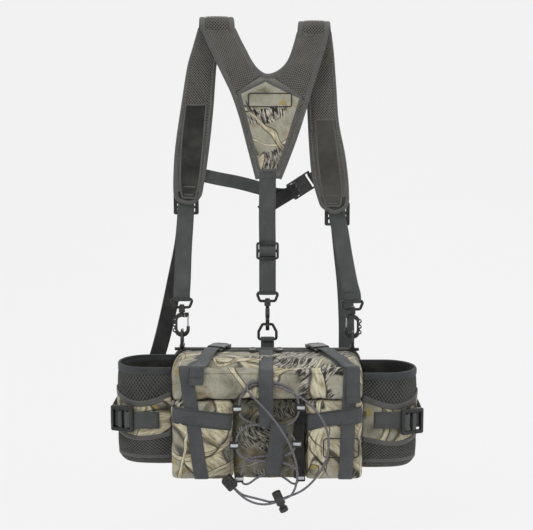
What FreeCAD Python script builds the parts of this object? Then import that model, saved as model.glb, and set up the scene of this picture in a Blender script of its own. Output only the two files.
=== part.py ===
import FreeCAD, Part
import math
import os

Vec = FreeCAD.Vector
AXIS = {"x": Vec(1, 0, 0), "y": Vec(0, 1, 0), "z": Vec(0, 0, 1)}

# ---------------------------------------------------------------- driving dimensions, millimetres
# The origin lies on the rear face of the back panel. The front of the bag looks along -Y.
GAP = 0.3                    # room between neighbours that don't fuse
WEB = 1.3                    # webbing thickness
WIDE_WEB = 25.0              # harness and belt webbing
SLIM_WEB = 20.0              # lid, centre and chest webbing

BACK_THICK = 10.0            # foam back panel
BAG_LEFT = -138.0
BAG_RIGHT = 139.0
BAG_FRONT = -110.0           # front wall of the main compartment
BAG_TOP = 80.0
BAG_FLOOR = -87.0
BAG_WALL = 3.0
BAG_CORNER = 18.0            # rounded corners of the bag seen from the front
PIPING_END = 123.0           # the top piping stops here, under the right ring's tab
BACK_PAD_X = (-104.0, 104.0)  # raised foam pad on the rear face
BACK_PAD_Z = (-74.0, 66.0)
RIM_Y = -4.0                 # rear face of the back panel round its raised pad
POCKET_ROUND = 11.0          # soft edges of the front pockets
FRONT_PLANE = -135.0         # front of the two front pockets
BAND_LOW = 30.0              # lower edge of the upper front pocket
POCKET_LEFT_INNER = -48.0
POCKET_RIGHT_INNER = 55.0
CENTRE_FRONT = -128.0        # front of the dark centre panel

STRAP_TOP = 83.0             # underside of the straps over the lid
STRAP_FRONT = -136.3         # rear of the straps down the front

BOTTLE_DEPTH = (-101.0, -16.3)
BOTTLE_WALL = 2.5

RING_WIRE = 2.1              # radius of the D-ring wire
BAR_HOLE = 2.6               # inner radius of webbing sewn round a bar

CORD_RADIUS = 1.6            # bungee cord

YOKE_FRONT = -3.0
YOKE_BACK = 3.0
PAD_FRONT = 20.5
PAD_BACK = 29.3
FOLD_CENTRE_Y = 13.0

parts = {}


# ---------------------------------------------------------------- helpers
def block(x, y, z):
    """Box between the given pairs of limits."""
    return Part.makeBox(x[1] - x[0], y[1] - y[0], z[1] - z[0], Vec(x[0], y[0], z[0]))


def edges_along(shape, axis, keep=lambda point: True):
    """Straight edges parallel to a named axis whose middle passes the test."""
    chosen = []
    for edge in shape.Edges:
        run = edge.Vertexes[-1].Point - edge.Vertexes[0].Point
        middle = edge.CenterOfMass
        if run.Length > 0.01 and abs(run.dot(AXIS[axis])) > 0.999 * run.Length and keep(middle):
            chosen.append(edge)
    return chosen


def soft_block(x, y, z, radius):
    """Box with every edge rounded."""
    solid = block(x, y, z)
    return solid.makeFillet(radius, solid.Edges)


def rod(start, end, radius):
    """Round bar between two points."""
    start = Vec(*start)
    run = Vec(*end) - start
    return Part.makeCylinder(radius, run.Length, start, run)


def panel(sides, y_front, y_back):
    """Plate whose outline is given side by side in X and Z: two points are straight, more are a curve."""
    edges = []
    for side in sides:
        points = [Vec(x, y_front, z) for x, z in side]
        if len(points) == 2:
            edges.append(Part.makeLine(points[0], points[1]))
        else:
            curve = Part.BSplineCurve()
            curve.interpolate(points)
            edges.append(curve.toShape())
    return Part.Face(Part.Wire(edges)).extrude(Vec(0, y_back - y_front, 0))


def polygon_plate(corners, y_front, y_back):
    """Plate with straight sides, corners in X and Z."""
    points = [Vec(x, y_front, z) for x, z in corners]
    return Part.Face(Part.makePolygon(points + points[:1])).extrude(Vec(0, y_back - y_front, 0))


def flat_plate(corners, z_low, z_high):
    """Lying plate with straight sides, corners in X and Y."""
    points = [Vec(x, y, z_low) for x, y in corners]
    return Part.Face(Part.makePolygon(points + points[:1])).extrude(Vec(0, 0, z_high - z_low))


def ribbon(points, span, plane="yz", thick=WEB):
    """Webbing that follows points along its middle, with mitred bends, and is as wide as the span.

    In plane "yz" the points are Y, Z and the span runs along X.
    In plane "xy" they are X, Y and the span runs along Z.
    """
    sides = {1: [], -1: []}
    for index, (u, v) in enumerate(points):
        runs = []
        if index > 0:
            runs.append((u - points[index - 1][0], v - points[index - 1][1]))
        if index < len(points) - 1:
            runs.append((points[index + 1][0] - u, points[index + 1][1] - v))
        runs = [(a / math.hypot(a, b), b / math.hypot(a, b)) for a, b in runs]
        along = (sum(a for a, _ in runs), sum(b for _, b in runs))
        size = math.hypot(*along)
        along = (along[0] / size, along[1] / size)
        reach = thick / 2 / (along[0] * runs[0][0] + along[1] * runs[0][1])
        for sign in sides:
            sides[sign].append((u - along[1] * reach * sign, v + along[0] * reach * sign))
    loop = sides[1] + sides[-1][::-1]
    if plane == "yz":
        corners = [Vec(span[0], u, v) for u, v in loop]
        depth = Vec(span[1] - span[0], 0, 0)
    else:
        corners = [Vec(u, v, span[0]) for u, v in loop]
        depth = Vec(0, 0, span[1] - span[0])
    return Part.Face(Part.makePolygon(corners + corners[:1])).extrude(depth)


def sleeve(axis, centre, length, inner, thick=WEB):
    """Webbing sewn round a bar that runs along the named axis."""
    start = Vec(*centre) - AXIS[axis] * (length / 2)
    outer = Part.makeCylinder(inner + thick, length, start, AXIS[axis])
    return outer.cut(Part.makeCylinder(inner, length, start, AXIS[axis]))


def bent_path(points, bend=None, closed=False):
    """Straight runs joined by tangent arcs: list of edges, and the radius of every arc."""
    points = [Vec(*p) for p in points]
    if closed:
        first = (points[0] + points[-1]) * 0.5
        points = [first] + points + [first]
    edges = []
    radii = []
    here = points[0]
    for before, corner, after in zip(points, points[1:], points[2:]):
        back = before - corner
        ahead = after - corner
        half_turn = (math.pi - back.getAngle(ahead)) / 2
        radius = bend or 0.45 * min(back.Length, ahead.Length) / math.tan(half_turn)
        cut = radius * math.tan(half_turn)
        back.normalize()
        ahead.normalize()
        inward = (back + ahead).normalize()
        entry = corner + back * cut
        leave = corner + ahead * cut
        crown = corner + inward * (radius / math.cos(half_turn) - radius)
        if (entry - here).Length > 0.001:
            edges.append(Part.makeLine(here, entry))
        edges.append(Part.Arc(entry, crown, leave).toShape())
        radii.append(radius)
        here = leave
    edges.append(Part.makeLine(here, points[-1]))
    return edges, radii


def sweep(edges, radius):
    """Round bar along a chain of edges."""
    path = Part.Wire(edges)
    start = edges[0].valueAt(edges[0].FirstParameter)
    along = edges[0].tangentAt(edges[0].FirstParameter)
    section = Part.Wire(Part.makeCircle(radius, start, along))
    return path.makePipeShell([section], True, False)


def ring(points, radius, bend):
    """Closed ring of round bar, swept as two halves."""
    edges, _ = bent_path(points, bend, closed=True)
    half = len(edges) // 2
    return sweep(edges[:half], radius).fuse(sweep(edges[half:], radius)).removeSplitter()


def cord(name, points):
    """Bungee cord through its route; prints its length, smallest bend and volume against the section."""
    edges, radii = bent_path(points)
    solid = sweep(edges, CORD_RADIUS)
    length = sum(edge.Length for edge in edges)
    expected = math.pi * CORD_RADIUS ** 2 * length
    print(f"{name}: length {length:.0f} mm, radii", " ".join(f"{r:.0f}" for r in radii),
          f"volume ratio {solid.Volume / expected:.3f}")
    return solid


def turned(shape, angle, axis, centre):
    """Copy turned about a named axis through a point, degrees."""
    copy = shape.copy()
    copy.rotate(Vec(*centre), AXIS[axis], angle)
    return copy


def moved(shape, offset):
    """Copy shifted by an offset."""
    copy = shape.copy()
    copy.translate(Vec(*offset))
    return copy


# ---------------------------------------------------------------- lumbar bag
def hollow_bag():
    """Main compartment: rounded shell with a closed space inside."""
    x = (BAG_LEFT, BAG_RIGHT)
    y = (BAG_FRONT, -BACK_THICK - GAP)
    z = (BAG_FLOOR, BAG_TOP)
    outer = block(x, y, z)
    outer = outer.makeFillet(BAG_CORNER, edges_along(outer, "y"))
    inner = block([x[0] + BAG_WALL, x[1] - BAG_WALL], [y[0] + BAG_WALL, y[1] - BAG_WALL],
                  [z[0] + BAG_WALL, z[1] - BAG_WALL])
    return outer.cut(inner.makeFillet(BAG_CORNER - BAG_WALL, edges_along(inner, "y")))


def back_panel():
    """Padded panel that rests on the wearer's back; its rear face is flat."""
    solid = block((BAG_LEFT, BAG_RIGHT), (-BACK_THICK, RIM_Y), (BAG_FLOOR, BAG_TOP))
    solid = solid.makeFillet(BAG_CORNER, edges_along(solid, "y"))
    pad = block(BACK_PAD_X, (RIM_Y, 0), BACK_PAD_Z)
    pad = pad.makeFillet(20, edges_along(pad, "y"))
    return solid.fuse(pad).removeSplitter()


def front_pocket(x, outer_side):
    """Lower front pocket with a rounded outer corner and soft lower edge."""
    solid = block(x, (FRONT_PLANE, BAG_FRONT - GAP), (BAG_FLOOR, BAND_LOW - 1.5))
    corner = edges_along(solid, "z", lambda p: abs(p.x - outer_side) < 1 and p.y < FRONT_PLANE + 1)
    lower = edges_along(solid, "x", lambda p: p.y < FRONT_PLANE + 1 and p.z < BAG_FLOOR + 1)
    return solid.makeFillet(POCKET_ROUND, corner + lower)


def upper_band():
    """Upper front pocket that overhangs the lower ones."""
    solid = block((BAG_LEFT + 2, BAG_RIGHT - 2), (FRONT_PLANE - 1, BAG_FRONT - GAP), (BAND_LOW, BAG_TOP))
    corner = edges_along(solid, "z", lambda p: p.y < FRONT_PLANE)
    brow = edges_along(solid, "x", lambda p: p.y < FRONT_PLANE and p.z > BAG_TOP - 1)
    return solid.makeFillet(POCKET_ROUND, corner + brow)


parts["back_panel"] = back_panel()
parts["bag_shell"] = hollow_bag()
parts["upper_front_pocket"] = upper_band()
parts["front_pocket_left"] = front_pocket((BAG_LEFT, POCKET_LEFT_INNER), BAG_LEFT)
parts["front_pocket_right"] = front_pocket((POCKET_RIGHT_INNER, BAG_RIGHT), BAG_RIGHT)
centre_panel = block((POCKET_LEFT_INNER + GAP, POCKET_RIGHT_INNER - GAP), (CENTRE_FRONT, BAG_FRONT - GAP),
                     (BAG_FLOOR + 2, BAND_LOW - 1.5))
centre_front_edges = edges_along(centre_panel, "x", lambda p: p.y < CENTRE_FRONT + 1)
parts["centre_panel"] = centre_panel.makeFillet(4, centre_front_edges)

ZIP_Y = (-29.0, -21.0)
ZIP_TOP = BAG_TOP + 1.8
ZIP_REACH = 60.0


def top_piping():
    """Bound seam along the top of the back edge, round the left corner and up to the right ring's tab."""
    size = 2.0
    outer = block((BAG_LEFT - size, BAG_RIGHT + size), (-12.4, -8.0), (0, BAG_TOP + size))
    outer = outer.makeFillet(BAG_CORNER + size, edges_along(outer, "y", lambda p: p.z > BAG_TOP))
    inner = block((BAG_LEFT, BAG_RIGHT), (-13, -7), (-1, BAG_TOP))
    inner = inner.makeFillet(BAG_CORNER, edges_along(inner, "y", lambda p: p.z > BAG_TOP - 1))
    sides = block((BAG_LEFT - 10, BAG_RIGHT + 10), (-20, 0), (-10, BAG_TOP - BAG_CORNER))
    under_right_tab = block((PIPING_END, BAG_RIGHT + 10), (-20, 0), (-10, BAG_TOP + 10))
    return outer.cut(inner).cut(sides).cut(under_right_tab)


parts["top_piping"] = top_piping()


def zip_chain():
    """Zip tape with its row of teeth between the two lid buckles."""
    reach = ZIP_REACH + 8
    tape = block((-reach, reach), (ZIP_Y[0] - 4, ZIP_Y[1] + 4), (BAG_TOP + 0.1, BAG_TOP + 0.7))
    teeth = [tape]
    pitch = 2.5
    for step in range(int(2 * ZIP_REACH / pitch) + 1):
        at = -ZIP_REACH + step * pitch
        teeth.append(block((at, at + 1.4), (-27.6, -22.4), (BAG_TOP + 0.6, ZIP_TOP)))
    return teeth[0].multiFuse(teeth[1:]).removeSplitter()


def zip_slider(x):
    """Slider body over the teeth, bridge, and moulded pull lying forwards."""
    body = block((x - 5, x + 5), (-29.5, -20.5), (ZIP_TOP + 0.3, ZIP_TOP + 2.3))
    body = body.makeFillet(0.8, edges_along(body, "z"))
    bridge = block((x - 3, x + 3), (-26.5, -23.5), (ZIP_TOP + 2.3, ZIP_TOP + 4.6))
    bridge = bridge.cut(block((x - 2, x + 2), (-27, -23), (ZIP_TOP + 2.2, ZIP_TOP + 3.4)))
    pull = soft_block((x - 5.5, x + 5.5), (-45, -32), (ZIP_TOP + 1.4, ZIP_TOP + 5), 1.5)
    neck = block((x - 1.5, x + 1.5), (-33, -24.6), (ZIP_TOP + 2.25, ZIP_TOP + 3.35))
    return body.multiFuse([bridge, pull, neck]).removeSplitter()


SLIDER_LEFT_X = -21.0
SLIDER_RIGHT_X = 19.0
parts["zip_chain"] = zip_chain()
parts["zip_slider_left"] = zip_slider(SLIDER_LEFT_X)
parts["zip_slider_right"] = zip_slider(SLIDER_RIGHT_X)


# ---------------------------------------------------------------- bottle pockets, wings, belt
def bottle_outline(inner_x, reach, y, inset):
    """D-shaped outline of a pocket: flat against the bag, half round outside."""
    side = 1 if inner_x > 0 else -1
    y = (y[0] + inset, y[1] - inset)
    radius = (y[1] - y[0]) / 2
    start_x = inner_x + side * inset
    turn_x = side * (reach - inset) - side * radius
    mid = (y[0] + y[1]) / 2
    near = Part.makeLine(Vec(start_x, y[0], 0), Vec(turn_x, y[0], 0))
    nose = Part.Arc(Vec(turn_x, y[0], 0), Vec(turn_x + side * radius, mid, 0), Vec(turn_x, y[1], 0)).toShape()
    far = Part.makeLine(Vec(turn_x, y[1], 0), Vec(start_x, y[1], 0))
    shut = Part.makeLine(Vec(start_x, y[1], 0), Vec(start_x, y[0], 0))
    return Part.Face(Part.Wire([near, nose, far, shut]))


def bottle_pocket(inner_x, reach, z):
    """Open mesh cup with an elastic collar bound round its mouth."""
    outer = bottle_outline(inner_x, reach, BOTTLE_DEPTH, 0).extrude(Vec(0, 0, z[1] - z[0]))
    inner = bottle_outline(inner_x, reach, BOTTLE_DEPTH, BOTTLE_WALL).extrude(Vec(0, 0, z[1] - z[0]))
    inner.translate(Vec(0, 0, BOTTLE_WALL))
    cup = outer.cut(inner)
    cup.translate(Vec(0, 0, z[0]))
    return cup


def collar(inner_x, reach, z_top):
    """Elastic binding outside the rim."""
    height = 8.0
    depth = (BOTTLE_DEPTH[0] - 1.8, BOTTLE_DEPTH[1] + 0.9)
    outer = bottle_outline(inner_x, reach + 1.8, depth, 0).extrude(Vec(0, 0, height))
    inner = bottle_outline(inner_x, reach, BOTTLE_DEPTH, 0).extrude(Vec(0, 0, height))
    band = outer.cut(inner)
    band.translate(Vec(0, 0, z_top - height))
    return band


LEFT_REACH = 218.0
RIGHT_REACH = 220.0
LEFT_MOUTH = 72.0
RIGHT_MOUTH = 64.0
LEFT_BASE = -75.0
RIGHT_BASE = -81.0
pocket_left_x = BAG_LEFT - GAP
pocket_right_x = BAG_RIGHT + GAP
parts["bottle_pocket_left"] = bottle_pocket(pocket_left_x, LEFT_REACH, (LEFT_BASE, LEFT_MOUTH))
parts["bottle_pocket_right"] = bottle_pocket(pocket_right_x, RIGHT_REACH, (RIGHT_BASE, RIGHT_MOUTH))
parts["pocket_collars"] = Part.makeCompound([collar(pocket_left_x, LEFT_REACH, LEFT_MOUTH),
                                             collar(pocket_right_x, RIGHT_REACH, RIGHT_MOUTH)])


def hip_wing(side, z_tip):
    """Padded belt wing behind a bottle pocket, tapering towards the hip."""
    corners = [(side * 140.5, -60), (side * 140.5, 56), (side * 186, z_tip), (side * 216, z_tip - 4),
               (side * 216, -36), (side * 186, -48)]
    solid = polygon_plate(corners, -14.5, RIM_Y)
    return solid.makeFillet(3, edges_along(solid, "y", lambda p: abs(p.x) > 200))


parts["hip_wings"] = Part.makeCompound([hip_wing(-1, 46), hip_wing(1, 50)])

LOCK_WIDTH = 36.0
LOCK_HEIGHT = 38.0
LOCK_THICK = 5.0


def ladder_lock(thumb):
    """Ladder-lock frame centred on the origin, its webbing along X, its rear at Y zero."""
    frame = block((-LOCK_WIDTH / 2, LOCK_WIDTH / 2), (-LOCK_THICK, 0), (-LOCK_HEIGHT / 2, LOCK_HEIGHT / 2))
    frame = frame.makeFillet(3, edges_along(frame, "y"))
    frame = frame.makeFillet(1.2, [e for e in frame.Edges if abs(e.CenterOfMass.y + LOCK_THICK) < 0.01])
    half = WIDE_WEB / 2 + 1
    for low, high in ((-14, -8.5), (-5, -1), (3.5, 13)):
        frame = frame.cut(block((low, high), (-LOCK_THICK - 1, 1), (-half, half)))
    if thumb:
        frame = frame.fuse(rod((15, -LOCK_THICK, -half), (15, -LOCK_THICK, half), 1.6)).removeSplitter()
    return frame


LOCK_TURN = 24.0
WAIST_Z = -4.5
LADDER_LEFT = (-209.0, -101.0, WAIST_Z + 2)
LADDER_RIGHT = (211.0, -101.0, WAIST_Z - 2)
right_ladder = moved(turned(ladder_lock(True), LOCK_TURN, "z", (0, 0, 0)), LADDER_RIGHT)
left_ladder = ladder_lock(True).mirror(Vec(0, 0, 0), Vec(1, 0, 0))
left_ladder = moved(turned(left_ladder, -LOCK_TURN, "z", (0, 0, 0)), LADDER_LEFT)
parts["belt_ladder_locks"] = Part.makeCompound([left_ladder, right_ladder])

# The belt webbing starts on the pocket, passes behind its lock and goes round the waist.
BELT_BACK = 118.0
BELT_LEFT_END = -6.5
BELT_RIGHT_END = 28.0
lock_rise = math.tan(math.radians(LOCK_TURN))


def belt_side(side, lock, end_x):
    """Belt webbing on one side, from the bottle pocket to the waist buckle."""
    behind = 1.2
    start = (side * 158, BOTTLE_DEPTH[0] - 1.3)
    bend = (side * 186, BOTTLE_DEPTH[0] - 1.3 - 2)
    lock_in = (lock[0] - side * 17, lock[1] + behind - 17 * lock_rise)
    lock_out = (lock[0] + side * 17, lock[1] + behind + 17 * lock_rise)
    return ribbon([start, bend, lock_in, lock_out, (side * 226, -60), (side * 223, 8), (side * 205, 45),
                   (side * 165, 84), (side * 100, BELT_BACK - 7), (side * 55, BELT_BACK), (end_x, BELT_BACK)],
                  (WAIST_Z - WIDE_WEB / 2, WAIST_Z + WIDE_WEB / 2), "xy")


# ---------------------------------------------------------------- side-release buckles
BUCKLE_LENGTH = 28.0
BUCKLE_THICK = 7.0
PLATE = 2.2                  # thickness of the male half, which runs between two layers of webbing
PRONG_REACH = 15.0


def buckle_female(width):
    """Female half: mouth at X zero, webbing bar near its far end; width along Y, thickness along Z."""
    half = width / 2
    body = block((0, 20), (-half, half), (-BUCKLE_THICK / 2, BUCKLE_THICK / 2))
    body = body.makeFillet(2, edges_along(body, "x"))
    body = body.cut(block((-1, 17), (-half + 2, half - 2), (-PLATE / 2 - 0.4, PLATE / 2 + 0.4)))
    for side in (-1, 1):
        window = block((8, 14), (half - 3, half + 1), (-1.9, 1.9))
        if side < 0:
            window = window.mirror(Vec(0, 0, 0), Vec(0, 1, 0))
        body = body.cut(window)
        rail = block((19, BUCKLE_LENGTH), (half - 2.4, half), (-2.2, 2.2))
        if side < 0:
            rail = rail.mirror(Vec(0, 0, 0), Vec(0, 1, 0))
        body = body.fuse(rail)
    body = body.fuse(rod((26, -half + 1, 0), (26, half - 1, 0), 1.7))
    return body.removeSplitter()


def buckle_male(width):
    """Male half: flat frame with two springy prongs and a guide tongue, shoulder at X just below zero."""
    half = width / 2
    plate = block((-13, -0.3), (-half, half), (-PLATE / 2, PLATE / 2))
    plate = plate.makeFillet(2, edges_along(plate, "z", lambda p: p.x < -12))
    slot = width / 2 - 2.6
    plate = plate.cut(block((-6.5, -3), (-slot, slot), (-3, 3)))
    prongs = []
    for side in (-1, 1):
        outer = half - 2.5
        corners = [(-1, side * (outer - 3)), (7, side * (outer - 2.6)), (9, side * outer),
                   (PRONG_REACH - 1.5, side * outer), (PRONG_REACH, side * (outer - 1.8)),
                   (PRONG_REACH - 1, side * (outer - 4)), (6, side * (outer - 5)), (-1, side * (outer - 5.5))]
        prongs.append(flat_plate(corners, -PLATE / 2, PLATE / 2))
    tongue = block((-1, 13), (-1.6, 1.6), (-PLATE / 2, PLATE / 2))
    return plate.multiFuse(prongs + [tongue]).removeSplitter()


def place(shape, tilt_axis, tilt, heading_axis, heading, at):
    """Turn about one axis, then another, then move into place."""
    origin = (0, 0, 0)
    return moved(turned(turned(shape, tilt, tilt_axis, origin), heading, heading_axis, origin), at)


# ---------------------------------------------------------------- straps on the bag
LID_SLANT = 21.8                                     # degrees that the lid straps lean across the top
BUCKLE_Z = STRAP_TOP + WEB + 0.3 + PLATE / 2
LID_LEFT_MOUTH = (-76.0, -30.0, BUCKLE_Z)
LID_RIGHT_MOUTH = (81.0, -30.0, BUCKLE_Z)
slant_x = math.sin(math.radians(LID_SLANT))
slant_y = math.cos(math.radians(LID_SLANT))


def lid_strap(side, mouth, front_x, foot_x, tail_x, tail_z):
    """Lid strap: up the front, over the top to the buckle, and back as a loose hemmed end."""
    half = SLIM_WEB / 2
    skew = half / slant_y
    reach = 6.5                                      # the layers stop this far inside the male half
    start = (mouth[0] + side * reach * slant_x, mouth[1] - reach * slant_y)
    across = (half * slant_y, side * half * slant_x)
    front = STRAP_FRONT - WEB
    near_buckle = [(start[0] - across[0], start[1] - across[1]), (start[0] + across[0], start[1] + across[1])]
    low = flat_plate(near_buckle + [(front_x + skew, front), (front_x - skew, front)], STRAP_TOP, STRAP_TOP + WEB)
    down = polygon_plate([(front_x - skew, STRAP_TOP + WEB), (front_x + skew, STRAP_TOP + WEB),
                          (foot_x + skew, BAG_FLOOR), (foot_x - skew, BAG_FLOOR)], front, STRAP_FRONT)
    tail_low = STRAP_TOP + WEB + 0.6 + PLATE
    tail_front = front - 2.2 - WEB
    high = flat_plate(near_buckle + [(tail_x + skew, tail_front), (tail_x - skew, tail_front)],
                      tail_low, tail_low + WEB)
    hang = polygon_plate([(tail_x - skew, tail_low + WEB), (tail_x + skew, tail_low + WEB),
                          (tail_x + skew + side * 2, tail_z), (tail_x - skew + side * 2, tail_z)],
                         tail_front, tail_front + WEB)
    return [low.fuse(down).removeSplitter(), high.fuse(hang).removeSplitter()]


parts["lid_straps"] = Part.makeCompound(lid_strap(-1, LID_LEFT_MOUTH, -115.0, -94.0, -97.0, 58.0)
                                        + lid_strap(1, LID_RIGHT_MOUTH, 120.0, 114.0, 124.0, 31.0))

LID_BUCKLE_WIDTH = 27.0
left_heading = 90 - LID_SLANT                        # headings of the buckles' mouths, about +Z
right_heading = 90 + LID_SLANT
lid_female = buckle_female(LID_BUCKLE_WIDTH)
lid_male = buckle_male(LID_BUCKLE_WIDTH)
parts["lid_buckle_females"] = Part.makeCompound(
    [place(lid_female, "x", 0, "z", left_heading, LID_LEFT_MOUTH),
     place(lid_female, "x", 0, "z", right_heading, LID_RIGHT_MOUTH)])
parts["lid_buckle_male_left"] = place(lid_male, "x", 0, "z", left_heading, LID_LEFT_MOUTH)
parts["lid_buckle_male_right"] = place(lid_male, "x", 0, "z", right_heading, LID_RIGHT_MOUTH)

# The centre strap starts at the zip, crosses the lid, stands off over the cord and drops into the recess.
CENTRE_X = (-11.5, 10.0)
OVER_CORD = -141.8
centre_strap = ribbon([(-36, STRAP_TOP + WEB / 2), (OVER_CORD, STRAP_TOP + WEB / 2), (OVER_CORD, 33),
                       (STRAP_FRONT - WEB / 2, 26), (STRAP_FRONT - WEB / 2, -4)], CENTRE_X)
slanted_strap = polygon_plate([(7, -2), (28, -2), (20.5, -78), (-4, -78)],
                              STRAP_FRONT - 2 * WEB, STRAP_FRONT - WEB)
parts["centre_strap"] = centre_strap.fuse(slanted_strap).removeSplitter()

SIDE_STRAP_INNER = -0.7                              # middle height beside the recess
SIDE_STRAP_OUTER = 9.0                               # middle height at the bag's corners


def level_strap(inner, outer):
    """Strap across a front pocket, rising a little towards the bag's corner."""
    half = WIDE_WEB / 2
    corners = [(inner, SIDE_STRAP_INNER + half), (outer, SIDE_STRAP_OUTER + half),
               (outer, SIDE_STRAP_OUTER - half), (inner, SIDE_STRAP_INNER - half)]
    return polygon_plate(corners, STRAP_FRONT + 0.1, FRONT_PLANE - 0.1)


parts["horizontal_straps"] = Part.makeCompound([level_strap(POCKET_LEFT_INNER - 1, -126),
                                                level_strap(POCKET_RIGHT_INNER + 1, 127)])


# ---------------------------------------------------------------- belt behind the bag
WAIST_BUCKLE_WIDTH = 33.0
WAIST_BUCKLE_Y = BELT_BACK - WEB / 2 - 0.3 - PLATE / 2
waist_mouth = (0, WAIST_BUCKLE_Y, WAIST_Z)
belt_left = belt_side(-1, LADDER_LEFT, BELT_LEFT_END)
waist_sleeve = sleeve("z", (26, WAIST_BUCKLE_Y, WAIST_Z), WIDE_WEB, 2.0)
belt_right = belt_side(1, LADDER_RIGHT, BELT_RIGHT_END).fuse(waist_sleeve).removeSplitter()
parts["belt_webbing"] = Part.makeCompound([belt_left, belt_right])
parts["waist_buckle_female"] = place(buckle_female(WAIST_BUCKLE_WIDTH), "x", 90, "z", 0, waist_mouth)
parts["waist_buckle_male"] = place(buckle_male(WAIST_BUCKLE_WIDTH), "x", 90, "z", 0, waist_mouth)


# ---------------------------------------------------------------- rings, tabs and snap hooks
RING_RISE = 23.0             # from the middle of the bar to the middle of the wire at the top of the D
RING_HALF = 13.4
CENTRE_HOOK = (1.5, -5.0, 94.6)          # middle of each D-ring's bar
LEFT_HOOK = (-127.0, -8.0, 85.5)
RIGHT_HOOK = (129.0, -8.0, 82.5)
HOOK_SLACK = 3.4             # wire middle above the inside of the hook's bend
HOOK_INSIDE = 51.9           # from the swivel ring's bar down to the inside of the bend
STEM_RADIUS = 2.3            # hook stem that turns in the swivel ring's collar
swivel_rise = RING_RISE - HOOK_SLACK + HOOK_INSIDE


def d_ring():
    """D-ring across X with the middle of its bar at the origin and its bow upwards."""
    knee = RING_RISE - RING_HALF
    points = [(-RING_HALF, 0, 0), (RING_HALF, 0, 0), (RING_HALF, 0, knee + 2), (7.5, 0, RING_RISE),
              (-7.5, 0, RING_RISE), (-RING_HALF, 0, knee + 2)]
    return ring(points, RING_WIRE, 3.2)


def swivel_ring():
    """Ring for webbing with a bored collar under it; the middle of its top bar is the origin."""
    loop = ring([(-16.6, 0, 0), (16.6, 0, 0), (11.5, 0, -13), (-11.5, 0, -13)], RING_WIRE, 3.6)
    collar_body = Part.makeCylinder(4.8, 9.6, Vec(0, 0, -20.6))
    collar_body = collar_body.makeFillet(1, [e for e in collar_body.Edges if e.CenterOfMass.z < -20])
    bore = Part.makeCylinder(STEM_RADIUS + GAP, 14, Vec(0, 0, -22))
    seat = Part.makeCylinder(4.2, 4, Vec(0, 0, -11))
    return loop.fuse(collar_body).cut(bore).cut(seat).removeSplitter()


HOOK_MIDDLE = -39.6
HOOK_HALF = (11.6, 18.3)
GATE_X = 9.0
GATE_PIVOT = -26.2
GATE_END = -40.6


def stadium(half_x, half_z, corner, middle_z, half_y):
    """Upright rounded plate, for the outside and the inside of a hook."""
    solid = block((-half_x, half_x), (-half_y, half_y), (middle_z - half_z, middle_z + half_z))
    return solid.makeFillet(corner, edges_along(solid, "y"))


def snap_hook():
    """Hook in the X, Z plane with its spine at -X and its mouth at +X, stem and head above."""
    body = stadium(HOOK_HALF[0], HOOK_HALF[1], 11.0, HOOK_MIDDLE, 2.9)
    body = body.makeFillet(1.0, [e for e in body.Edges if abs(abs(e.CenterOfMass.y) - 2.9) < 0.01])
    for offset in (-8.5, 0, 8.5):
        knob = Part.makeCylinder(3.1, 4.6, Vec(-HOOK_HALF[0] + 0.6, -2.3, HOOK_MIDDLE + offset), AXIS["y"])
        body = body.fuse(knob)
    body = body.cut(stadium(6.8, 12.3, 6.5, HOOK_MIDDLE, 4))
    for offset in (-8.5, 0, 8.5):
        hole = Vec(-HOOK_HALF[0] + 0.4, -4, HOOK_MIDDLE + offset)
        body = body.cut(Part.makeCylinder(1.5, 8, hole, AXIS["y"]))
    body = body.cut(block((4, 14), (-4, 4), (GATE_END - 1.4, GATE_PIVOT + 3)))
    lug = block((4.5, 10.4), (-1.2, 1.2), (GATE_PIVOT - 1.9, GATE_PIVOT + 5))
    lug = lug.cut(Part.makeCylinder(1.0, 4, Vec(GATE_X, -2, GATE_PIVOT), AXIS["y"]))
    shoulder = block((4.5, 9), (-1.2, 1.2), (GATE_PIVOT + 2, GATE_PIVOT + 5.2))
    stem = Part.makeCylinder(STEM_RADIUS, 14, Vec(0, 0, -24.5))
    head = Part.makeCylinder(3.6, 1.8, Vec(0, 0, -10.6))
    body = body.multiFuse([lug, shoulder, stem, head]).removeSplitter()
    return body


def hook_gate():
    """Sprung wire loop that closes the hook's mouth."""
    half = 2.6
    return ring([(GATE_X, -half, GATE_PIVOT), (GATE_X, half, GATE_PIVOT), (GATE_X, half, GATE_END),
                 (GATE_X, -half, GATE_END)], 0.9, 1.2)


HOOKS = {"left": (LEFT_HOOK, 0), "right": (RIGHT_HOOK, 180), "centre": (CENTRE_HOOK, 90)}
for name, (bar, heading) in HOOKS.items():
    top = (bar[0], bar[1], bar[2] + swivel_rise)
    parts["d_ring_" + name] = moved(turned(d_ring(), heading - 90, "z", (0, 0, 0)), bar)
    parts["swivel_ring_" + name] = moved(swivel_ring(), top)
    parts["snap_hook_" + name] = moved(turned(snap_hook(), heading, "z", (0, 0, 0)), top)
    parts["hook_gate_" + name] = moved(turned(hook_gate(), heading, "z", (0, 0, 0)), top)

TAB_FACE = (RIM_Y + GAP, RIM_Y + GAP + WEB)      # tabs are sewn on behind the back panel's rim
TAB_FOOT = BACK_PAD_Z[1] + 0.4


def ring_tab(axis, bar, length):
    """Webbing tab: a sleeve round the ring's bar and a tail sewn behind the panel."""
    loop = sleeve(axis, bar, length, BAR_HOLE)
    tail_x = length / 2 if axis == "x" else 5
    tail = block((bar[0] - tail_x, bar[0] + tail_x), TAB_FACE, (TAB_FOOT, bar[2] - BAR_HOLE - 0.1))
    return loop.fuse(tail).removeSplitter()


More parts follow.
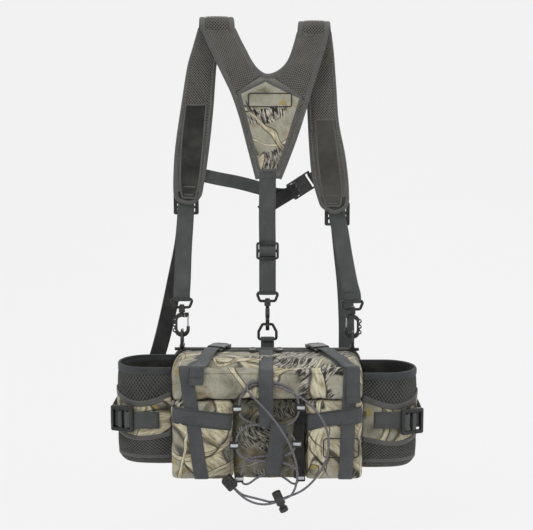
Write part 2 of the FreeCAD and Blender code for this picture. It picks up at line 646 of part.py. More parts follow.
def buckle_tab(mouth, side):
    """Tab that holds a lid buckle's bar."""
    bar = (mouth[0] - side * 26 * slant_x, mouth[1] + 26 * slant_y, mouth[2])
    loop = turned(sleeve("x", bar, SLIM_WEB, 2.0), side * LID_SLANT, "z", bar)
    tail = block((bar[0] - 9.5, bar[0] + 9.5), TAB_FACE, (TAB_FOOT, bar[2] - 0.5))
    tail = tail.cut(turned(Part.makeCylinder(2.0, 40, Vec(bar[0] - 20, bar[1], bar[2]), AXIS["x"]),
                           side * LID_SLANT, "z", bar))
    return loop.fuse(tail).removeSplitter()


parts["sewn_tabs"] = Part.makeCompound(
    [ring_tab("x", CENTRE_HOOK, 20), ring_tab("y", LEFT_HOOK, 18), ring_tab("y", RIGHT_HOOK, 18),
     buckle_tab(LID_LEFT_MOUTH, -1), buckle_tab(LID_RIGHT_MOUTH, 1)])


# ---------------------------------------------------------------- bungee, cord lock and cord end
LOOP_HOLE = 2.1
CORD_Y = -139.0
LOOPS = [(-39.5, 21.5, -1), (-44.0, -32.5, -1), (-37.0, -82.0, -1),
         (47.0, 23.5, 1), (41.5, -30.0, 1), (46.5, -80.5, 1)]


def cord_loop(x, z, side):
    """Short webbing loop sewn at a pocket's inner edge, its bore upright."""
    limits = sorted((x - side * 3.6, x + side * 9))
    solid = block(limits, (CORD_Y - 3.2, FRONT_PLANE - 0.3), (z - 5, z + 5))
    solid = solid.makeFillet(1.2, edges_along(solid, "z", lambda p: p.y < CORD_Y))
    return solid.cut(Part.makeCylinder(LOOP_HOLE, 12, Vec(x, CORD_Y, z - 6)))


parts["cord_loops"] = Part.makeCompound([cord_loop(*loop) for loop in LOOPS])

LOCK_AT = (18.8, -150.1, -111.0)
LOCK_LEAN = -24.0
END_AT = (-46.5, -150.1, -92.5)
END_TURN = -129.8
TAIL_A_Y = -152.0
TAIL_B_Y = -148.2
LOCK_IN = (28.9, -106.5)     # X and Z where the tails enter and leave the lock
LOCK_OUT = (8.75, -115.5)

LACING = [(0, -138.5, 57.2), (-14, -138.7, 57.6), (-25, -139, 56), (-33.5, -139.2, 46.5), (-38.6, -139, 35),
          (-39.5, -139, 21), (-37.5, -137.6, 9), (-27, -133, 1), (-13, -130.5, -5), (3, -130.2, -8.5),
          (19, -130.8, -11.5), (32, -134.5, -15), (40, -138.6, -22), (41.5, -139, -33), (38, -137.8, -43),
          (27, -133.3, -49.5), (12, -130.4, -51), (-2, -130.2, -51.2), (-15, -130.3, -52.3), (-26, -131.5, -55.8),
          (-34, -135.5, -64.5), (-37, -139, -77), (-35.3, -138.8, -89.5), (-27, -137.2, -91.8), (-16, -134, -84),
          (-3, -131.5, -77), (12, -130.6, -76.5), (27, -133.4, -83), (37.5, -137, -91), (45, -138.8, -89),
          (46.5, -139, -77), (42, -138.3, -66.5), (31.5, -136.1, -61), (16, -134.2, -59), (1, -133.9, -57.6),
          (-13, -134.6, -57.3), (-25, -135.6, -56.4), (-36, -137.6, -50.5), (-43, -139, -41), (-44, -139, -30),
          (-42, -138.6, -19), (-36, -136.9, -9.5), (-26, -135.1, -4.2), (-12, -134.1, -3.4), (4, -134, -4.6),
          (19, -134.4, -6), (32, -136.3, -3), (42, -138.6, 6), (47, -139, 18), (46.3, -139, 32),
          (40.5, -139, 43.5), (29, -138.8, 54), (15, -138.6, 60), (0, -138.5, 61)]
TAIL_A = [(0, -138.5, 61), (-12, -138.7, 61.6), (-22.5, -140.3, 62), (-29, -143.6, 56.5), (-26, -146.6, 47.5),
          (-14, -148.5, 36), (3, -149.5, 18), (19, -150, -3), (32, -150.5, -25), (41, -150.8, -48),
          (44.8, -151, -70), (42.5, -151.5, -90), (36, -152, -103), (LOCK_IN[0], TAIL_A_Y, LOCK_IN[1]),
          (LOCK_OUT[0], TAIL_A_Y, LOCK_OUT[1]), (-8, -151.8, -117), (-24, -151.6, -112.5),
          (-38.5, -152, -102.05), (END_AT[0], TAIL_A_Y, END_AT[2])]
TAIL_B = [(0, -138.5, 57.2), (13, -138.9, 55.6), (28, -142.5, 50.5), (44, -146.8, 43.5), (60, -150, 33),
          (73, -151, 19.5), (82.5, -151.5, 4), (88, -151.5, -13), (89.3, -151, -31), (86, -150.5, -50),
          (78, -150, -67.5), (67, -149.3, -83), (54, -148.6, -95.5), (41, -148.2, -102.5),
          (LOCK_IN[0], TAIL_B_Y, LOCK_IN[1]), (LOCK_OUT[0], TAIL_B_Y, LOCK_OUT[1]), (-8, -148.3, -110.5),
          (-24, -148.4, -106.5), (-38.3, -148.2, -102.3), (END_AT[0], TAIL_B_Y, END_AT[2])]
parts["bungee_lacing"] = cord("bungee_lacing", LACING)
parts["bungee_tail_a"] = cord("bungee_tail_a", TAIL_A)
parts["bungee_tail_b"] = cord("bungee_tail_b", TAIL_B)

LOCK_TRAVEL = 5.0


def lock_barrel():
    """Barrel of the cord lock along Z, bored from below, with a cross slot for two cords."""
    barrel = Part.makeCylinder(6.6, 20, Vec(0, 0, -6))
    barrel = barrel.makeFillet(1.4, [e for e in barrel.Edges if e.CenterOfMass.z > 13])
    barrel = barrel.cut(Part.makeCylinder(4.7, 18, Vec(0, 0, -7)))
    for level in (8, 10.5):
        groove = Part.makeCylinder(7, 1, Vec(0, 0, level)).cut(Part.makeCylinder(6.2, 1, Vec(0, 0, level)))
        barrel = barrel.cut(groove)
    return barrel.cut(block((-10, 10), (-4.2, 4.2), (-2.3, 2.3)))


def lock_button():
    """Sprung plunger of the cord lock: cap below, slotted stem inside the barrel."""
    stem = Part.makeCylinder(4.4, 17, Vec(0, 0, -13))
    cap = Part.makeCylinder(6.4, 6.6, Vec(0, 0, -18))
    cap = cap.makeFillet(1.6, [e for e in cap.Edges if e.CenterOfMass.z < -17.9])
    button = stem.fuse(cap).removeSplitter()
    return button.cut(block((-10, 10), (-3.8, 3.8), (-2.2 - LOCK_TRAVEL, 2.2)))


def lock_spring():
    """Compression spring between the plunger and the roof of the barrel."""
    coil = Part.makeHelix(1.9, 6.0, 3.2)
    start = coil.Edges[0].valueAt(coil.Edges[0].FirstParameter)
    along = coil.Edges[0].tangentAt(coil.Edges[0].FirstParameter)
    section = Part.Wire(Part.makeCircle(0.4, start, along))
    solid = Part.Wire(coil.Edges).makePipeShell([section], True, True)
    solid.translate(Vec(0, 0, 4.5))
    return solid


parts["cord_lock_barrel"] = place(lock_barrel(), "z", 0, "y", LOCK_LEAN, LOCK_AT)
parts["cord_lock_spring"] = place(lock_spring(), "z", 0, "y", LOCK_LEAN, LOCK_AT)
parts["cord_lock_button"] = place(lock_button(), "z", 0, "y", LOCK_LEAN, LOCK_AT)
end_block = soft_block((0, 20), (-7.5, 7.5), (-8, 8), 3)
parts["cord_end"] = place(end_block, "z", 0, "y", END_TURN, END_AT)


# ---------------------------------------------------------------- yoke and shoulder pads
LEFT_FOLD_Z = 558.0
RIGHT_FOLD_Z = 552.0
FOLD_OUT = PAD_BACK - FOLD_CENTRE_Y
FOLD_IN = PAD_FRONT - FOLD_CENTRE_Y + 0.5

parts["yoke_arm_left"] = panel(
    [[(-97, LEFT_FOLD_Z), (-46, LEFT_FOLD_Z)],
     [(-46, LEFT_FOLD_Z), (-30, 526), (-16.9, 503), (-4, 491)],
     [(-4, 491), (-50.8, 461)],
     [(-50.8, 461), (-74, 510), (-88.6, 542), (-97, LEFT_FOLD_Z)]], YOKE_FRONT, YOKE_BACK)
parts["yoke_arm_right"] = panel(
    [[(45, RIGHT_FOLD_Z), (91, RIGHT_FOLD_Z)],
     [(91, RIGHT_FOLD_Z), (85.5, 529), (75, 495), (62, 451)],
     [(62, 451), (5, 490)],
     [(5, 490), (21, 497.5), (33, 513), (45, RIGHT_FOLD_Z)]], YOKE_FRONT, YOKE_BACK)
parts["yoke_centre"] = panel(
    [[(-3.8, 490.6), (4.8, 489.6)],
     [(4.8, 489.6), (61.8, 450.6)],
     [(61.8, 450.6), (46.6, 402), (33.4, 366), (21.6, 336)],
     [(21.6, 336), (-15.6, 336)],
     [(-15.6, 336), (-28.9, 387), (-39.1, 426), (-50.6, 460.6)],
     [(-50.6, 460.6), (-3.8, 490.6)]], YOKE_FRONT, YOKE_BACK)
parts["yoke_camo_panel"] = polygon_plate([(-1.3, 481), (-39.6, 464), (-10.4, 350), (17.1, 350), (50.5, 457)],
                                         YOKE_FRONT - 1.4, YOKE_FRONT - 0.1)


def shoulder_fold(x, z):
    """Half round fold where the padding turns over the shoulder."""
    width = x[1] - x[0]
    start = Vec(x[0], FOLD_CENTRE_Y, z)
    outer = Part.makeCylinder(FOLD_OUT, width, start, AXIS["x"])
    inner = Part.makeCylinder(FOLD_IN, width, start, AXIS["x"])
    return outer.cut(inner).cut(block((x[0] - 1, x[1] + 1), (-60, 60), (z - 60, z + 0.1)))


left_pad = panel(
    [[(-100, LEFT_FOLD_Z), (-50, LEFT_FOLD_Z)],
     [(-50, LEFT_FOLD_Z), (-74, 510), (-80, 442), (-85, 395), (-91, 350), (-98, 310)],
     [(-98, 310), (-106, 299.5), (-118, 296), (-131, 300), (-139, 312)],
     [(-139, 312), (-139, 334), (-135.6, 382), (-124.4, 455), (-116.6, 501), (-100, LEFT_FOLD_Z)]],
    PAD_FRONT, PAD_BACK)
right_pad = panel(
    [[(49, RIGHT_FOLD_Z), (95, RIGHT_FOLD_Z)],
     [(95, RIGHT_FOLD_Z), (99, 520), (107, 419), (116.4, 373), (121.8, 334), (123.6, 303)],
     [(123.6, 303), (117, 288), (102, 281.5), (88, 288), (78, 304)],
     [(78, 304), (70, 334), (65.5, 373), (61.5, 442), (59, 490), (49, RIGHT_FOLD_Z)]],
    PAD_FRONT, PAD_BACK)
parts["shoulder_pad_left"] = left_pad.fuse(shoulder_fold((-100, -49), LEFT_FOLD_Z)).removeSplitter()
parts["shoulder_pad_right"] = right_pad.fuse(shoulder_fold((48, 95), RIGHT_FOLD_Z)).removeSplitter()
grip_left = panel(
    [[(-119.5, 445), (-90, 445)], [(-90, 445), (-95, 385), (-103, 318)],
     [(-103, 318), (-107, 307), (-116, 303), (-126, 307), (-129, 318)],
     [(-129, 318), (-127, 385), (-119.5, 445)]], PAD_FRONT - 1.3, PAD_FRONT - 0.1)
grip_right = panel(
    [[(72.5, 423), (99, 423)], [(99, 423), (106, 372), (114, 306)],
     [(114, 306), (110, 295), (101, 291), (91, 295), (85, 306)],
     [(85, 306), (77, 365), (72.5, 423)]], PAD_FRONT - 1.3, PAD_FRONT - 0.1)
parts["grip_panels"] = Part.makeCompound([grip_left, grip_right])

# ---------------------------------------------------------------- webbing of the harness
CENTRE_WEB_X = (-11.0, 14.0)
CENTRE_BAR = (CENTRE_HOOK[0], CENTRE_HOOK[1], CENTRE_HOOK[2] + swivel_rise)
centre_rear = ribbon([(-4.5, 346), (-4.5, 255), (CENTRE_BAR[1] + BAR_HOLE + WEB / 2, CENTRE_BAR[2] + 8),
                      (CENTRE_BAR[1] + BAR_HOLE + WEB / 2, CENTRE_BAR[2])], CENTRE_WEB_X)
centre_front = ribbon([(-6.1, 228), (-6.1, 200), (CENTRE_BAR[1] - BAR_HOLE - WEB / 2, CENTRE_BAR[2] + 8),
                       (CENTRE_BAR[1] - BAR_HOLE - WEB / 2, CENTRE_BAR[2])], CENTRE_WEB_X)
centre_sleeve = sleeve("x", (1.5, CENTRE_BAR[1], CENTRE_BAR[2]), WIDE_WEB, BAR_HOLE)
centre_sleeve = centre_sleeve.cut(block((-40, 40), (-20, 20), (CENTRE_BAR[2], CENTRE_BAR[2] + 20)))
parts["centre_web"] = centre_rear.multiFuse([centre_front, centre_sleeve]).removeSplitter()

SLIDER_Z = 230.0


def centre_slider():
    """Three-bar slider in front of the doubled centre webbing."""
    frame = block((-17, 17), (-4, 0), (-13, 13))
    frame = frame.makeFillet(4, edges_along(frame, "y"))
    frame = frame.makeFillet(1.2, [e for e in frame.Edges if abs(e.CenterOfMass.y + 4) < 0.01])
    for low, high in ((-9.5, -2.2), (2.2, 9.5)):
        frame = frame.cut(block((-13.3, 13.3), (-5, 1), (low, high)))
    return frame


parts["centre_slider"] = moved(centre_slider(), (1.5, -7.1, SLIDER_Z))


def drop_web(hook, lock_x, lock_z, tail_points):
    """Side webbing from the pad's ladder-lock down to its swivel ring, with the loose end behind."""
    bar = (hook[0], hook[1], hook[2] + swivel_rise)
    front = PAD_BACK + 1.0 + WEB / 2
    lean = math.degrees(math.atan((lock_x - bar[0]) / (lock_z - bar[2])))
    clear_of_ring = 0.45 * WIDE_WEB / 2 * abs(math.sin(math.radians(lean)))
    foot_y = bar[1] - BAR_HOLE - WEB / 2 - clear_of_ring
    strand = ribbon([(front, lock_z + 8), (front, lock_z - 14), (foot_y, bar[2])],
                    (bar[0] - WIDE_WEB / 2, bar[0] + WIDE_WEB / 2))
    strand = turned(strand, lean, "y", bar)
    loop = sleeve("x", bar, WIDE_WEB, BAR_HOLE)
    back_up = block((bar[0] - WIDE_WEB / 2, bar[0] + WIDE_WEB / 2),
                    (bar[1] - BAR_HOLE - WEB, bar[1] - BAR_HOLE + 0.2), (bar[2], bar[2] + 12))
    tail_y = PAD_BACK + 1.0 + WEB + 0.3 + LOCK_THICK + 0.3
    tail = polygon_plate(tail_points, tail_y, tail_y + WEB)
    over = block((lock_x - WIDE_WEB / 2 + 0.5, lock_x + WIDE_WEB / 2 - 0.5), (front - WEB / 2, tail_y + WEB),
                 (lock_z + 7, lock_z + 8.3))
    return strand.multiFuse([loop, back_up, tail, over]).removeSplitter()


PAD_LOCK_LEFT = (-121.5, 297.0)
PAD_LOCK_RIGHT = (107.0, 280.0)
drop_left = drop_web(LEFT_HOOK, PAD_LOCK_LEFT[0], PAD_LOCK_LEFT[1],
                     [(-133.5, 305.3), (-109.5, 305.3), (-119, 200), (-131, 146), (-149, 78), (-161, 51),
                      (-179, 54), (-166, 90), (-151, 150), (-141, 205)])
drop_right = drop_web(RIGHT_HOOK, PAD_LOCK_RIGHT[0], PAD_LOCK_RIGHT[1],
                      [(95, 288.3), (119, 288.3), (127, 200), (133.5, 132), (135.5, 66), (111, 66),
                       (109.5, 132), (103, 205)])
parts["drop_webbing"] = Part.makeCompound([drop_left, drop_right])
lock_y = PAD_BACK + 1.0 + WEB + 0.3 + LOCK_THICK
pad_lock = turned(ladder_lock(False), -90, "y", (0, 0, 0))
parts["pad_ladder_locks"] = Part.makeCompound(
    [moved(pad_lock, (PAD_LOCK_LEFT[0], lock_y, PAD_LOCK_LEFT[1])),
     moved(pad_lock, (PAD_LOCK_RIGHT[0], lock_y, PAD_LOCK_RIGHT[1]))])

# ---------------------------------------------------------------- chest strap
CHEST_SLANT = 33.0
CHEST_Y = 35.0
CHEST_MOUTH = (47.0, CHEST_Y, 319.0)
CHEST_BUCKLE_WIDTH = 27.0
chest_x = math.cos(math.radians(CHEST_SLANT))
chest_z = math.sin(math.radians(CHEST_SLANT))
chest_female = buckle_female(CHEST_BUCKLE_WIDTH)
chest_male = buckle_male(CHEST_BUCKLE_WIDTH)
parts["chest_buckle_female"] = place(chest_female, "x", 90, "y", -CHEST_SLANT, CHEST_MOUTH)
parts["chest_buckle_male"] = place(chest_male, "x", 90, "y", -CHEST_SLANT, CHEST_MOUTH)
strand_y = CHEST_Y + PLATE / 2 + 0.3 + WEB / 2
male_x = CHEST_MOUTH[0] - 6.5 * chest_x
male_z = CHEST_MOUTH[2] - 6.5 * chest_z
left_end = ribbon([(-112, PAD_BACK + 1), (-94, PAD_BACK + 1), (-80, strand_y), (male_x - 12, strand_y)],
                  (328, 348), "xy")
left_end = turned(left_end, 11.3, "y", (-92, CHEST_Y, 338))
tip = block((male_x - 22, male_x), (strand_y - WEB / 2, strand_y + WEB / 2), (male_z - 10, male_z + 10))
tip = turned(tip, -CHEST_SLANT, "y", (male_x, CHEST_Y, male_z))
chest_tail_y = CHEST_Y - PLATE / 2 - 0.3
tail = turned(block((male_x - 58, male_x), (chest_tail_y - WEB, chest_tail_y), (male_z - 10, male_z + 10)),
              -CHEST_SLANT, "y", (male_x, CHEST_Y, male_z))
parts["chest_web_left"] = Part.makeCompound([left_end.fuse(tip).removeSplitter(), tail])
bar_x = CHEST_MOUTH[0] + 26 * chest_x
bar_z = CHEST_MOUTH[2] + 26 * chest_z
right_bar = (bar_x, CHEST_Y, bar_z)
right_loop = turned(sleeve("z", right_bar, SLIM_WEB, 2.0), -CHEST_SLANT, "y", right_bar)
right_web = ribbon([(bar_x + 2, CHEST_Y - 2.6), (bar_x + 12, PAD_BACK + 1.0), (bar_x + 34, PAD_BACK + 1.0)],
                   (bar_z - 10, bar_z + 10), "xy")
right_web = turned(right_web, -CHEST_SLANT, "y", right_bar)
room_for_bar = Part.makeCylinder(2.0, 40, Vec(bar_x, CHEST_Y, bar_z - 20))
right_web = right_web.cut(turned(room_for_bar, -CHEST_SLANT, "y", right_bar))
parts["chest_web_right"] = right_loop.fuse(right_web).removeSplitter()

os.makedirs("parts", exist_ok=True)
for name, shape in parts.items():
    shape.exportStep("parts/" + name + ".step")
print(len(parts), "nodes")
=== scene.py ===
"""Looks of the binocular harness pack: camouflage lumbar bag, mesh bottle pockets and padded shoulder harness."""
import logging
import math
from dataclasses import dataclass, field
from enum import Enum
from typing import Callable, Iterable, Optional, Sequence, Union

import bmesh
import bpy
from mathutils import Matrix, Vector, noise
from mathutils.bvhtree import BVHTree


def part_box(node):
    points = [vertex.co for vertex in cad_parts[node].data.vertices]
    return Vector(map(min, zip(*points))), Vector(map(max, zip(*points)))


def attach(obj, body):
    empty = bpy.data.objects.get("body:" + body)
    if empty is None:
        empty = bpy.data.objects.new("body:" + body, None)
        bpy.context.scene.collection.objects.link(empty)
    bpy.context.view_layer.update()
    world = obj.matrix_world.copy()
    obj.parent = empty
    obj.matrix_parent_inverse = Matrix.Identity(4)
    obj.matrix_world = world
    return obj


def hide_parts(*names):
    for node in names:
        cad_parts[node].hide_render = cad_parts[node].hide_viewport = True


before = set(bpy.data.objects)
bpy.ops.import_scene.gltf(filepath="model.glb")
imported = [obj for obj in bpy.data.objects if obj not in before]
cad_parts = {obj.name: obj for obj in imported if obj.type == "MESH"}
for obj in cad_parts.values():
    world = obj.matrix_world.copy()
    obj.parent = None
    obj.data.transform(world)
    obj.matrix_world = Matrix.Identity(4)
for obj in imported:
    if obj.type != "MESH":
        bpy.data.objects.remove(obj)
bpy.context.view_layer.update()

log = logging.getLogger("harness_pack")

MM = 0.001
PACK = "pack"                      # the body that holds the bag and the harness
Point = tuple[float, float, float]
Surface = Callable[[float, float], Vector]
Across = Union[Vector, Callable[[int, Vector], Vector]]
RIGHTWARD, REARWARD, UPWARD = Vector((1, 0, 0)), Vector((0, 1, 0)), Vector((0, 0, 1))
FORWARD = -REARWARD
STRAND_STEPS = 2                   # points for each half diamond of open mesh


# ------------------------------------------------------------------------------------------ small helpers
def vec(point: Sequence[float]) -> Vector:
    """Turn millimetres into a vector in metres."""
    return Vector(point) * MM


def lerp(a: float, b: float, t: float) -> float:
    """Value a fraction t of the way from a to b."""
    return a + (b - a) * t


def smooth(points: Sequence[Vector], steps: int = 6) -> list[Vector]:
    """Round a chain of points with a Catmull-Rom curve.

    Args:
        points: Corner points in order.
        steps: Samples for each run.

    Returns:
        The sampled points, ends included.
    """
    ends = [points[0] * 2 - points[1], *points, points[-1] * 2 - points[-2]]
    found = []
    for a, b, c, d in zip(ends, ends[1:], ends[2:], ends[3:]):
        for step in range(steps):
            t = step / steps
            found.append(0.5 * ((2 * b) + (c - a) * t + (2 * a - 5 * b + 4 * c - d) * t * t
                                + (3 * b - a - 3 * c + d) * t ** 3))
    found.append(points[-1].copy())
    return found


def rounded(points: Sequence[Vector], radius: float, steps: int = 4) -> list[Vector]:
    """Round the corners of a chain of straight runs, keeping the runs straight.

    Args:
        points: Corner points in order, metres.
        radius: How far from a corner its rounding starts, metres.
        steps: Samples in each rounding.

    Returns:
        The rounded chain.
    """
    found = [points[0].copy()]
    for before, corner, after in zip(points, points[1:], points[2:]):
        cut_in = min(radius, (before - corner).length * 0.45)
        cut_out = min(radius, (after - corner).length * 0.45)
        start = corner + (before - corner).normalized() * cut_in
        end = corner + (after - corner).normalized() * cut_out
        for step in range(steps + 1):
            t = step / steps
            found.append(start * (1 - t) ** 2 + corner * (2 * t * (1 - t)) + end * t * t)
    found.append(points[-1].copy())
    return found


def spaced(points: Sequence[Vector], pitch: float) -> list[Vector]:
    """Points at an even pitch along a chain, both ends kept."""
    lengths = [(b - a).length for a, b in zip(points, points[1:])]
    total = sum(lengths)
    count = max(1, round(total / pitch))
    found = [points[0].copy()]
    index, passed = 0, 0.0
    for step in range(1, count):
        target = total * step / count
        while passed + lengths[index] < target:
            passed += lengths[index]
            index += 1
        found.append(points[index].lerp(points[index + 1], (target - passed) / lengths[index]))
    found.append(points[-1].copy())
    return found


def two_humps(t: float, split: float, first: float, second: float) -> float:
    """Height of two half-sine humps side by side over a run from 0 to 1 that meet at the split."""
    if t < split:
        return first * math.sin(math.pi * min(1.0, t / split))
    return second * math.sin(math.pi * (t - split) / (1 - split))


def round_bar(bar: Vector, swing: Vector, lift: Vector, radius: float,
              angles: Sequence[float]) -> list[Vector]:
    """Webbing's middle line round a bar, at angles in degrees from the swing towards the lift."""
    turns = [math.radians(angle) for angle in angles]
    return [bar + swing * (math.cos(a) * radius) + lift * (math.sin(a) * radius) for a in turns]


def flat_outline(*chains: Sequence[tuple[float, float]]) -> list[tuple[float, float]]:
    """Smooth closed outline in X and Z through chains of corners, without points that nearly coincide."""
    line: list[Vector] = []
    for chain in chains:
        line += smooth([Vector((x, 0, z)) for x, z in chain], 3)
    outline = [(p.x, p.z) for p in line]
    return [p for i, p in enumerate(outline) if i == 0 or math.dist(p, outline[i - 1]) > 0.8]


def inward_of(line: Sequence[Vector], index: int) -> Vector:
    """Direction in X and Z to the left of a line at one of its points."""
    along = (line[min(index + 1, len(line) - 1)] - line[max(index - 1, 0)]).normalized()
    return Vector((-along.z, 0, along.x))


def new_object(name: str, mesh: bpy.types.Mesh, shade: bool = True) -> bpy.types.Object:
    """Link a new object that holds the mesh."""
    piece = bpy.data.objects.new(name, mesh)
    bpy.context.scene.collection.objects.link(piece)
    if shade:
        mesh.shade_smooth()
    return piece


def mesh_from(name: str, points: Sequence[Vector], faces: Sequence[Sequence[int]],
              run: Optional[Sequence[Point]] = None) -> bpy.types.Mesh:
    """Make a mesh with consistent normals and, if given, a "run" attribute.

    Args:
        name: Name of the mesh.
        points: Vertices in metres.
        faces: Vertex indices of each face.
        run: Position along, across and through the cloth for each vertex, metres.

    Returns:
        The mesh.
    """
    mesh = bpy.data.meshes.new(name)
    mesh.from_pydata([p[:] for p in points], [], faces)
    if run is not None:
        attribute = mesh.attributes.new("run", "FLOAT_VECTOR", "POINT")
        for index, value in enumerate(run):
            attribute.data[index].vector = value
    shape = bmesh.new()
    shape.from_mesh(mesh)
    bmesh.ops.recalc_face_normals(shape, faces=shape.faces)
    shape.to_mesh(mesh)
    shape.free()
    return mesh


def joined(name: str, pieces: Sequence[bpy.types.Object]) -> bpy.types.Object:
    """Join mesh objects into the first one and name it."""
    bpy.ops.object.select_all(action="DESELECT")
    for piece in pieces:
        piece.select_set(True)
    bpy.context.view_layer.objects.active = pieces[0]
    if len(pieces) > 1:
        bpy.ops.object.join()
    pieces[0].name = name
    return pieces[0]


def applied(piece: bpy.types.Object) -> bpy.types.Object:
    """Bake every modifier of a piece into its mesh."""
    graph = bpy.context.evaluated_depsgraph_get()
    mesh = bpy.data.meshes.new_from_object(piece.evaluated_get(graph), preserve_all_data_layers=True,
                                           depsgraph=graph)
    piece.modifiers.clear()
    piece.data = mesh
    return piece


def finish_piece(piece: bpy.types.Object, finish: "Finish", body: str = PACK,
                 replaces: Iterable[str] = ()) -> bpy.types.Object:
    """Give a piece its material, slot, body and the nodes it stands for.

    Args:
        piece: The object.
        finish: Its only finish.
        body: Body it rides on.
        replaces: Packed nodes it is shown in place of.

    Returns:
        The same object.
    """
    piece.data.materials.clear()
    piece.data.materials.append(finish.material())
    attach(piece, body)
    for node in replaces:
        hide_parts(node)
    log.info("piece %s on %s", piece.name, body)
    return piece


# ------------------------------------------------------------------------------------------ mesh builders
def ribbon(name: str, path: Sequence[Vector], across: Across, width: float,
           thick: float = 1.4 * MM, columns: int = 6, cup: float = 0.0) -> bpy.types.Object:
    """Webbing along a path, with rounded selvedges and the "run" attribute.

    Args:
        name: Name of the piece.
        path: Middle line in metres.
        across: Direction across the webbing, or a function of the point's index and the direction along.
        width: Width in metres.
        thick: Thickness in metres.
        columns: Quads across each face.
        cup: How far the middle stands off the chord of the width, metres.

    Returns:
        The new object.
    """
    points, run, faces = [], [], []
    travelled = 0.0
    profile = []
    for column in range(columns + 1):
        t = column / columns
        edge = 0.55 if column in (0, columns) else 1.0
        profile.append((t - 0.5, 0.5 * edge))
    profile += [(u, -v) for u, v in reversed(profile)]
    for index, point in enumerate(path):
        ahead = path[min(index + 1, len(path) - 1)] - path[max(index - 1, 0)]
        along = ahead.normalized()
        side = across(index, along) if callable(across) else across
        side = (side - along * side.dot(along)).normalized()
        normal = along.cross(side).normalized()
        if index:
            travelled += (point - path[index - 1]).length
        for u, v in profile:
            bulge = cup * (1 - (2 * u) ** 2)
            points.append(point + side * (u * width) + normal * (v * thick + bulge))
            run.append((travelled, u * width, v * thick))
    ring = len(profile)
    for index in range(len(path) - 1):
        for corner in range(ring):
            after = (corner + 1) % ring
            faces.append((index * ring + corner, index * ring + after,
                          (index + 1) * ring + after, (index + 1) * ring + corner))
    for base in (0, (len(path) - 1) * ring):
        for column in range(columns):
            faces.append((base + column, base + column + 1, base + ring - 2 - column,
                          base + ring - 1 - column))
    return new_object(name, mesh_from(name, points, faces, run))


def tube(name: str, path: Sequence[Vector], radius: float, sides: int = 8, closed: bool = False,
         flat: float = 1.0, up: Vector = UPWARD) -> bpy.types.Object:
    """Round or oval bar along a path.

    Args:
        name: Name of the piece.
        path: Middle line in metres.
        radius: Radius in metres.
        sides: Corners of the section.
        closed: Whether the last point joins the first.
        flat: Section height as a fraction of its width.
        up: Rough direction of the section's flat side.

    Returns:
        The new object.
    """
    points, run, faces = [], [], []
    count = len(path)
    travelled = 0.0
    for index, point in enumerate(path):
        before = path[(index - 1) % count] if closed or index else path[0]
        after = path[(index + 1) % count] if closed or index < count - 1 else path[-1]
        along = (after - before).normalized()
        side = along.cross(up)
        if side.length < 0.05:
            side = along.cross(REARWARD)
        side.normalize()
        lift = side.cross(along).normalized()
        if index:
            travelled += (point - path[index - 1]).length
        for corner in range(sides):
            angle = 2 * math.pi * corner / sides
            points.append(point + side * (math.cos(angle) * radius) + lift * (math.sin(angle) * radius * flat))
            run.append((travelled, radius * angle, 0.0))
    rings = count if closed else count - 1
    for index in range(rings):
        after = (index + 1) % count
        for corner in range(sides):
            turn = (corner + 1) % sides
            faces.append((index * sides + corner, index * sides + turn, after * sides + turn,
                          after * sides + corner))
    if not closed:
        faces.append(tuple(range(sides)))
        faces.append(tuple((count - 1) * sides + corner for corner in range(sides)))
    return new_object(name, mesh_from(name, points, faces, run))


def skin(name: str, surface: Surface, columns: int, rows: int, thick: float) -> bpy.types.Object:
    """Closed sheet of cloth over a surface of two parameters from 0 to 1.

    Args:
        name: Name of the piece.
        surface: Point in metres for each pair of parameters.
        columns: Quads along the first parameter.
        rows: Quads along the second parameter.
        thick: Thickness in metres, laid inwards.

    Returns:
        The new object.
    """
    across = columns + 1
    outer = [surface(column / columns, row / rows) for row in range(rows + 1) for column in range(across)]

    def at(column: int, row: int) -> int:
        """Index of a grid point."""
        return row * across + column

    quads = [(at(c, r), at(c + 1, r), at(c + 1, r + 1),
              at(c, r + 1)) for r in range(rows) for c in range(columns)]
    mesh = mesh_from(name, outer, quads)
    piece = new_object(name, mesh)
    solid = piece.modifiers.new("cloth", "SOLIDIFY")
    solid.thickness = thick
    solid.offset = 0
    return applied(piece)


def lattice(name: str, surface: Surface, cells: tuple[int, int], radius: float) -> bpy.types.Object:
    """Open diamond mesh: two families of slanting strands over a surface.

    Args:
        name: Name of the piece.
        surface: Point in metres for each pair of parameters.
        cells: Diamonds along each parameter.
        radius: Half thickness of a strand, metres.

    Returns:
        The new object.
    """
    across, up = cells
    points, faces = [], []

    def strand(chain: list[tuple[float, float]]) -> None:
        """Add one four-sided strand along a chain of parameter pairs."""
        if len(chain) < 2:
            return
        line = [surface(u, v) for u, v in chain]
        base = len(points)
        for index, point in enumerate(line):
            along = (line[min(index + 1, len(line) - 1)] - line[max(index - 1, 0)]).normalized()
            side = along.orthogonal().normalized()
            other = along.cross(side)
            for a, b in ((1, 0), (0, 1), (-1, 0), (0, -1)):
                points.append(point + side * (a * radius) + other * (b * radius))
        for index in range(len(line) - 1):
            for corner in range(4):
                turn = (corner + 1) % 4
                faces.append((base + index * 4 + corner, base + index * 4 + turn,
                              base + index * 4 + 4 + turn, base + index * 4 + 4 + corner))
        faces.append((base, base + 1, base + 2, base + 3))
        last = base + (len(line) - 1) * 4
        faces.append((last, last + 1, last + 2, last + 3))

    for lean in (1, -1):
        for start in range(-up, across + up):
            chain: list[tuple[float, float]] = []
            for step in range(up * STRAND_STEPS + 1):
                u = (start + lean * step / STRAND_STEPS) / across
                if 0.0 <= u <= 1.0:
                    chain.append((u, step / (up * STRAND_STEPS)))
                else:
                    strand(chain)
                    chain = []
            strand(chain)
    return new_object(name, mesh_from(name, points, faces), shade=False)


